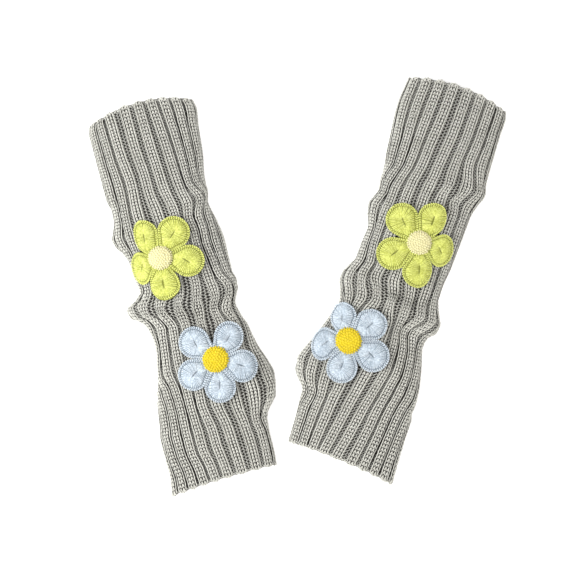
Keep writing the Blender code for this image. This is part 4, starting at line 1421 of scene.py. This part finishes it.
def shade_and_inside_material(name, light, dark, inside):
    """The knit under its stitches, painted near black as their shade, and inside the tube: soft courses
    and wales on its own uv.

    Two band patterns, one by rib number and one by place along, cross each other in the bump
    and in the colour. The inside colour is mixed in by the wall's own tone.
    """
    material, tree, shader = new_material(name, {
        "Roughness": 0.92, "Specular IOR Level": 0.2, "Sheen Weight": 0.15, "Sheen Roughness": 0.5,
    })
    place = add(tree, "TexCoord")
    tone = add(tree, "Attribute", attribute_name="tone")
    wales, courses = (
        add(tree, "TexWave", {"Scale": scale, "Distortion": 0.4}, bands_direction=axis)
        for axis, scale in (("X", GROUND_WALES), ("Y", GROUND_COURSES))
    )
    cross, mixed, share = (add(tree, "Math", operation="MULTIPLY") for _ in range(3))
    noise = add(tree, "TexNoise", {"Scale": GROUND_SCALE})
    colour = add(tree, "Mix", {"A": (*dark, 1), "B": (*light, 1)}, data_type="RGBA")
    woven = add(
        tree, "Math", {1: 1 - LEAST_INSIDE, 2: LEAST_INSIDE}, operation="MULTIPLY_ADD"
    )
    both = add(tree, "Mix", {"B": (*inside, 1)}, data_type="RGBA")
    bump = add(tree, "Bump", {"Strength": 0.7, "Distance": GROUND_DEPTH})
    link(
        tree,
        (place, "UV", wales, "Vector"), (place, "UV", courses, "Vector"),
        (wales, "Fac", cross, 0), (courses, "Fac", cross, 1),
        (place, "Object", noise, "Vector"), (cross, 0, mixed, 0), (noise, "Fac", mixed, 1),
        (mixed, 0, colour, "Factor"), (cross, 0, woven, 0),
        (woven, 0, share, 0), (tone, "Fac", share, 1),
        (share, 0, both, "Factor"), (colour, "Result", both, "A"),
        (both, "Result", shader, "Base Color"),
        (cross, 0, bump, "Height"), (bump, "Normal", shader, "Normal"),
    )
    return material


def floor_material(name, pale, glow):
    """A plain matt floor with some light of its own, its tone varied softly in object space."""
    material, tree, shader = new_material(name, {
        "Roughness": 0.9, "Specular IOR Level": 0.1,
        "Emission Color": (1, 1, 1, 1), "Emission Strength": glow,
    })
    place = add(tree, "TexCoord")
    noise = add(tree, "TexNoise", {"Scale": FLOOR_SCALE})
    paler = pale * FLOOR_SPREAD
    tint = add(tree, "Mix", {"A": (*pale, 1), "B": (*paler, 1)}, data_type="RGBA")
    link(
        tree,
        (place, "Object", noise, "Vector"), (noise, "Fac", tint, "Factor"),
        (tint, "Result", shader, "Base Color"),
    )
    return material


def ride(piece, material):
    """Gives a piece its finish and its body."""
    piece.data.materials.append(material)
    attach(piece, "root")
    return piece


# ---------------------------------------------------------------- settings


def number_property(name, description, default, **traits):
    """A number that a user may change."""
    return FloatProperty(name=name, description=description, default=default, **traits)


def length_property(name, description, default):
    """A length that a user may change, in metres."""
    return number_property(name, description, default, unit="LENGTH", precision=5)


def colour_property(name, description, default):
    """A colour that a user may change."""
    return FloatVectorProperty(
        name=name, description=description, default=default, size=3, subtype="COLOR", min=0, max=1
    )


class KnitSettings(bpy.types.PropertyGroup):
    """Sizes and colours of the knitted sleeves."""

    skin: length_property("Skin", "Depth of the knit wall under its tallest stitches", 0.0006)
    base_skin: length_property("Base skin", "The same on the side that rests", 0.0010)
    rib_depth: length_property("Rib depth", "Depth of a valley between two ribs", 0.0020)
    base_rib_depth: length_property("Base rib depth", "The same on the side that rests", 0.0008)
    rib_width: length_property("Rib width", "Width of the three knit wales of a rib", 0.0079)
    least_valley: number_property("Least valley", "Least share of a rib its valley takes", 0.17)
    most_valley: number_property("Most valley", "Most of a rib that its valley takes", 0.45)
    course_upper: length_property("Upper course", "Height of a course at the upper arm", 0.00268)
    course_hand: length_property("Hand course", "Height of a course at the hand", 0.00312)
    light: colour_property("Yarn, light", "Lighter tone of the grey yarn", (0.61, 0.605, 0.56))
    dark: colour_property("Yarn, dark", "Darker tone of the grey yarn", (0.42, 0.415, 0.375))
    # Painted shade: the knit under the stitches is near black, standing for the shadow between them.
    painted_shade_light: colour_property("Ground, light", "Knit under the stitches", (0.06, 0.057, 0.05))
    painted_shade_dark: colour_property("Ground, dark", "Gaps under the stitches", (0.018, 0.017, 0.015))
    inside: colour_property("Inside", "Knit inside the tube", (0.50, 0.495, 0.45))


class FlowerSettings(bpy.types.PropertyGroup):
    """Colours of the crocheted flowers."""

    green: colour_property("Green, light", "Lighter tone of the green yarn", (0.665, 0.70, 0.205))
    green_dark: colour_property("Green, dark", "Darker tone of the green", (0.43, 0.455, 0.09))
    blue: colour_property("Blue, light", "Lighter tone of the blue yarn", (0.60, 0.66, 0.72))
    blue_dark: colour_property("Blue, dark", "Darker tone of the blue", (0.34, 0.405, 0.475))
    cream: colour_property("Cream, light", "Lighter tone of the cream yarn", (0.69, 0.65, 0.395))
    cream_dark: colour_property("Cream, dark", "Darker tone of the cream", (0.65, 0.605, 0.335))
    yellow: colour_property("Yellow, light", "Lighter tone of the yellow", (0.67, 0.54, 0.03))
    yellow_dark: colour_property("Yellow, dark", "Darker tone of the yellow", (0.60, 0.455, 0.017))
    # The layers under the crochet stitches take the darker yarn dimmed by these shares: painted shade
    # between the stitches.
    petal_shade: number_property("Petal gaps", "Tone between petal stitches, of the darker", 0.6)
    centre_shade: number_property("Centre gaps", "Tone between centre stitches, of the darker", 1.0)


class StageSettings(bpy.types.PropertyGroup):
    """The floor, the light and the camera."""

    view_width: length_property("View width", "Width of floor that the camera sees", 0.5157)
    middle_x: length_property("View middle X", "Middle of the view, across", -0.00975)
    middle_y: length_property("View middle Y", "Middle of the view, up the picture", 0.00075)
    view_height: length_property("Sharp height", "Height at which the width is taken", 0.012)
    lens: number_property("Lens", "Focal length, mm", 200.0)
    floor: colour_property("Floor", "Pale floor", (0.90, 0.90, 0.90))
    glow: number_property("Glow", "Light from under the pale floor", 0.35)
    sky: number_property("Sky", "Strength of the light all round", 0.5)
    key: number_property("Key", "Power of the main soft light, W", 27.0)
    top: number_property("Top", "Power of the light above, W", 14.5)
    fill: number_property("Fill", "Power of the warm side light, W", 2.8)
    seed: IntProperty(name="Seed", description="Seed of the yarn's small differences", default=7)


# ---------------------------------------------------------------- operators


class Maker(bpy.types.Operator):
    """What the operators share."""

    bl_options = {"REGISTER", "UNDO"}

    def knits(self, context):
        """The knit of both sleeves."""
        return [Knit(sleeve, context.scene.arm_warmer_knit) for sleeve in SLEEVES]

    def sewn_flowers(self):
        """Each flower with the sleeve that it is sewn on."""
        for sleeve in SLEEVES:
            face = Face(sleeve, 0.0, 0.0, sleeve.folds)
            for flower in sleeve.flowers:
                yield sleeve, flower, Sewn(face, flower)

    def yarn(self, context, colour):
        """The yarn of a flower's colour, made once."""
        name = f"{colour}_crochet"
        tints = context.scene.arm_warmer_flowers
        light, dark = getattr(tints, colour), getattr(tints, f"{colour}_dark")
        return bpy.data.materials.get(name) or yarn_material(
            name, light, dark, flecked=3.4, sheen=0.12
        )

    def shade_ground(self, context, colour, share):
        """The same yarn in the shade between its stitches, made once."""
        name = f"{colour}_shade"
        tints = context.scene.arm_warmer_flowers
        dark = np.array(getattr(tints, f"{colour}_dark")) * share
        return bpy.data.materials.get(name) or yarn_material(
            name, dark, dark * SHADE_SPREAD, flecked=1.0, sheen=0.05
        )

    def crochet(self, context, colour, shade_share, solid, layer, name, stitches):
        """A crocheted layer, which stands for a solid, and the named piece of its stitches."""
        yarn = self.yarn(context, colour)
        # The layer is painted in its yarn's shade tone, the shade seen between the stitches.
        body = make_piece(f"crochet_{solid}", *layer)
        ride(body, self.shade_ground(context, colour, shade_share))
        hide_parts(solid)
        return body, ride(grain_piece(name, stitches), yarn)


class KNIT_OT_sleeves(Maker):
    """Make the thin ribbed wall of both sleeves"""

    bl_idname = "arm_warmers.sleeves"
    bl_label = "Knitted sleeves"

    def execute(self, context):
        sizes = context.scene.arm_warmer_knit
        # The wall is painted near black outside, as the shade between its stitches, and in the inside
        # colour within.
        shade_ground = shade_and_inside_material("grey_ground", sizes.painted_shade_light, sizes.painted_shade_dark, sizes.inside)
        for knit in self.knits(context):
            side = knit.sleeve.side
            piece = ride(make_piece(f"knit_{side}", *knit_wall(knit)), shade_ground)
            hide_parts(f"sleeve_{side}")
        return {"FINISHED"}


class KNIT_OT_stitches(Maker):
    """Make the knit, purl and edge stitches of both sleeves"""

    bl_idname = "arm_warmers.stitches"
    bl_label = "Knit and purl stitches"

    def execute(self, context):
        sizes = context.scene.arm_warmer_knit
        yarn = yarn_material("grey_knit", sizes.light, sizes.dark, flecked=1.0, sheen=0.2)
        rng = np.random.default_rng(context.scene.arm_warmer_stage.seed)
        for knit in self.knits(context):
            side = knit.sleeve.side
            legs_left, legs_right, below = knit_stitches(knit, rng)
            purl_seen, purl_below = purl_stitches(knit, rng)
            made = {
                f"knit_stitches_{side}_a": legs_left,
                f"knit_stitches_{side}_b": legs_right,
                f"purl_stitches_{side}": purl_seen,
                f"under_stitches_{side}": joined(below, purl_below),
                f"edge_stitches_{side}": edge_stitches(knit, rng),
            }
            pieces = [
                ride(grain_piece(name, part), yarn) for name, part in made.items()
            ]
            around = float(np.mean(knit.outer.around)) * MM
        return {"FINISHED"}


class KNIT_OT_petals(Maker):
    """Make the petals of the four flowers, with their stitches"""

    bl_idname = "arm_warmers.petals"
    bl_label = "Crocheted petals"

    def execute(self, context):
        rng = np.random.default_rng(context.scene.arm_warmer_stage.seed + 1)
        tints = context.scene.arm_warmer_flowers
        for sleeve, flower, sewn in self.sewn_flowers():
            stitches = joined(petal_posts(sewn, rng), petal_edging(sewn, rng), inner_ring(sewn, rng))
            body, piece = self.crochet(
                context, flower.colour, tints.petal_shade, f"{flower.colour}_petals_{sleeve.side}",
                petals_layer(sewn), f"{flower.colour}_petal_stitches_{sleeve.side}", stitches,
            )
            across = 2 * (PETAL_DISTANCE + PETAL_RADIUS) * float(np.mean(flower.sizes)) * MM
        return {"FINISHED"}


class KNIT_OT_centres(Maker):
    """Make the nubbly round centres of the four flowers"""

    bl_idname = "arm_warmers.centres"
    bl_label = "Flower centres"

    def execute(self, context):
        rng = np.random.default_rng(context.scene.arm_warmer_stage.seed + 2)
        tints = context.scene.arm_warmer_flowers
        for sleeve, flower, sewn in self.sewn_flowers():
            body, piece = self.crochet(
                context, flower.centre, tints.centre_shade, f"{flower.centre}_centre_{sleeve.side}",
                centre_layer(sewn), f"{flower.centre}_nubs_{sleeve.side}", nubs(sewn, rng),
            )
        return {"FINISHED"}


def soft_sky(strength):
    """An even pale light from all round."""
    world = bpy.data.worlds.new("soft_sky")
    world.use_nodes = True
    sky = world.node_tree.nodes["Background"]
    sky.inputs["Color"].default_value = SKY_COLOUR
    sky.inputs["Strength"].default_value = strength
    return world


def straight_camera(stage):
    """A camera straight above the middle of the view, as far off as its width asks."""
    data = bpy.data.cameras.new("camera")
    data.lens = stage.lens
    data.sensor_width = SENSOR_WIDTH
    data.clip_end = SIGHT_END
    camera = bpy.data.objects.new("camera", data)
    distance = stage.view_width * data.lens / data.sensor_width
    camera.location = (stage.middle_x, stage.middle_y, stage.view_height + distance)
    bpy.context.scene.collection.objects.link(camera)
    return camera


def area_light(light, power):
    """A large soft light that looks from its place at a point."""
    data = bpy.data.lights.new(light.name, "AREA")
    data.shape = "DISK"
    data.size = light.size
    data.energy = power
    data.color = light.colour
    lamp = bpy.data.objects.new(light.name, data)
    bpy.context.scene.collection.objects.link(lamp)
    way = np.array(light.aim) - np.array(light.place)
    flat = math.hypot(way[0], way[1])
    lamp.location = light.place
    lamp.rotation_euler = (math.atan2(flat, -way[2]), 0, math.atan2(way[1], way[0]) - math.pi / 2)


class KNIT_OT_stage(Maker):
    """Make the pale floor, the soft light and the camera straight above"""

    bl_idname = "arm_warmers.stage"
    bl_label = "Floor, light and camera"

    def execute(self, context):
        scene = context.scene
        stage = scene.arm_warmer_stage
        corners = np.array([(-1, -1, 0), (1, -1, 0), (1, 1, 0), (-1, 1, 0)], float) * FLOOR_HALF
        floor = make_piece("floor", corners - (0, 0, FLOOR_DROP), [np.array([[0, 1, 2, 3]])])
        paper = floor_material("pale_floor", np.array(stage.floor), stage.glow)
        floor.data.materials.append(paper)

        scene.world = soft_sky(stage.sky)
        for light in LIGHTS:
            area_light(light, getattr(stage, light.setting))
        scene.camera = straight_camera(stage)
        scene.view_settings.view_transform = "Standard"
        return {"FINISHED"}


class KNIT_PT_panel(bpy.types.Panel):
    """Lists the pieces that can be made and the sizes they take"""

    bl_idname = "KNIT_PT_panel"
    bl_label = "Arm warmers"
    bl_space_type = "VIEW_3D"
    bl_region_type = "UI"
    bl_category = "Arm warmers"

    def draw(self, context):
        for operator in OPERATORS:
            self.layout.operator(operator.bl_idname)
        for name, kind in SETTINGS.items():
            column = self.layout.column()
            group = getattr(context.scene, name)
            for key in kind.__annotations__:
                column.prop(group, key)


OPERATORS = (KNIT_OT_stage, KNIT_OT_sleeves, KNIT_OT_stitches, KNIT_OT_petals, KNIT_OT_centres)
SETTINGS = {
    "arm_warmer_knit": KnitSettings,
    "arm_warmer_flowers": FlowerSettings,
    "arm_warmer_stage": StageSettings,
}
CLASSES = (*SETTINGS.values(), *OPERATORS, KNIT_PT_panel)


def register():
    """Adds the settings, the operators and the panel."""
    for cls in CLASSES:
        bpy.utils.register_class(cls)
    for name, kind in SETTINGS.items():
        setattr(bpy.types.Scene, name, PointerProperty(type=kind))


def unregister():
    """Takes them away again."""
    for name in SETTINGS:
        delattr(bpy.types.Scene, name)
    for cls in reversed(CLASSES):
        bpy.utils.unregister_class(cls)


def main():
    """Runs every operator in order."""
    register()
    bpy.ops.arm_warmers.stage()
    bpy.ops.arm_warmers.sleeves()
    bpy.ops.arm_warmers.stitches()
    bpy.ops.arm_warmers.petals()
    bpy.ops.arm_warmers.centres()


if __name__ == "__main__":
    main()
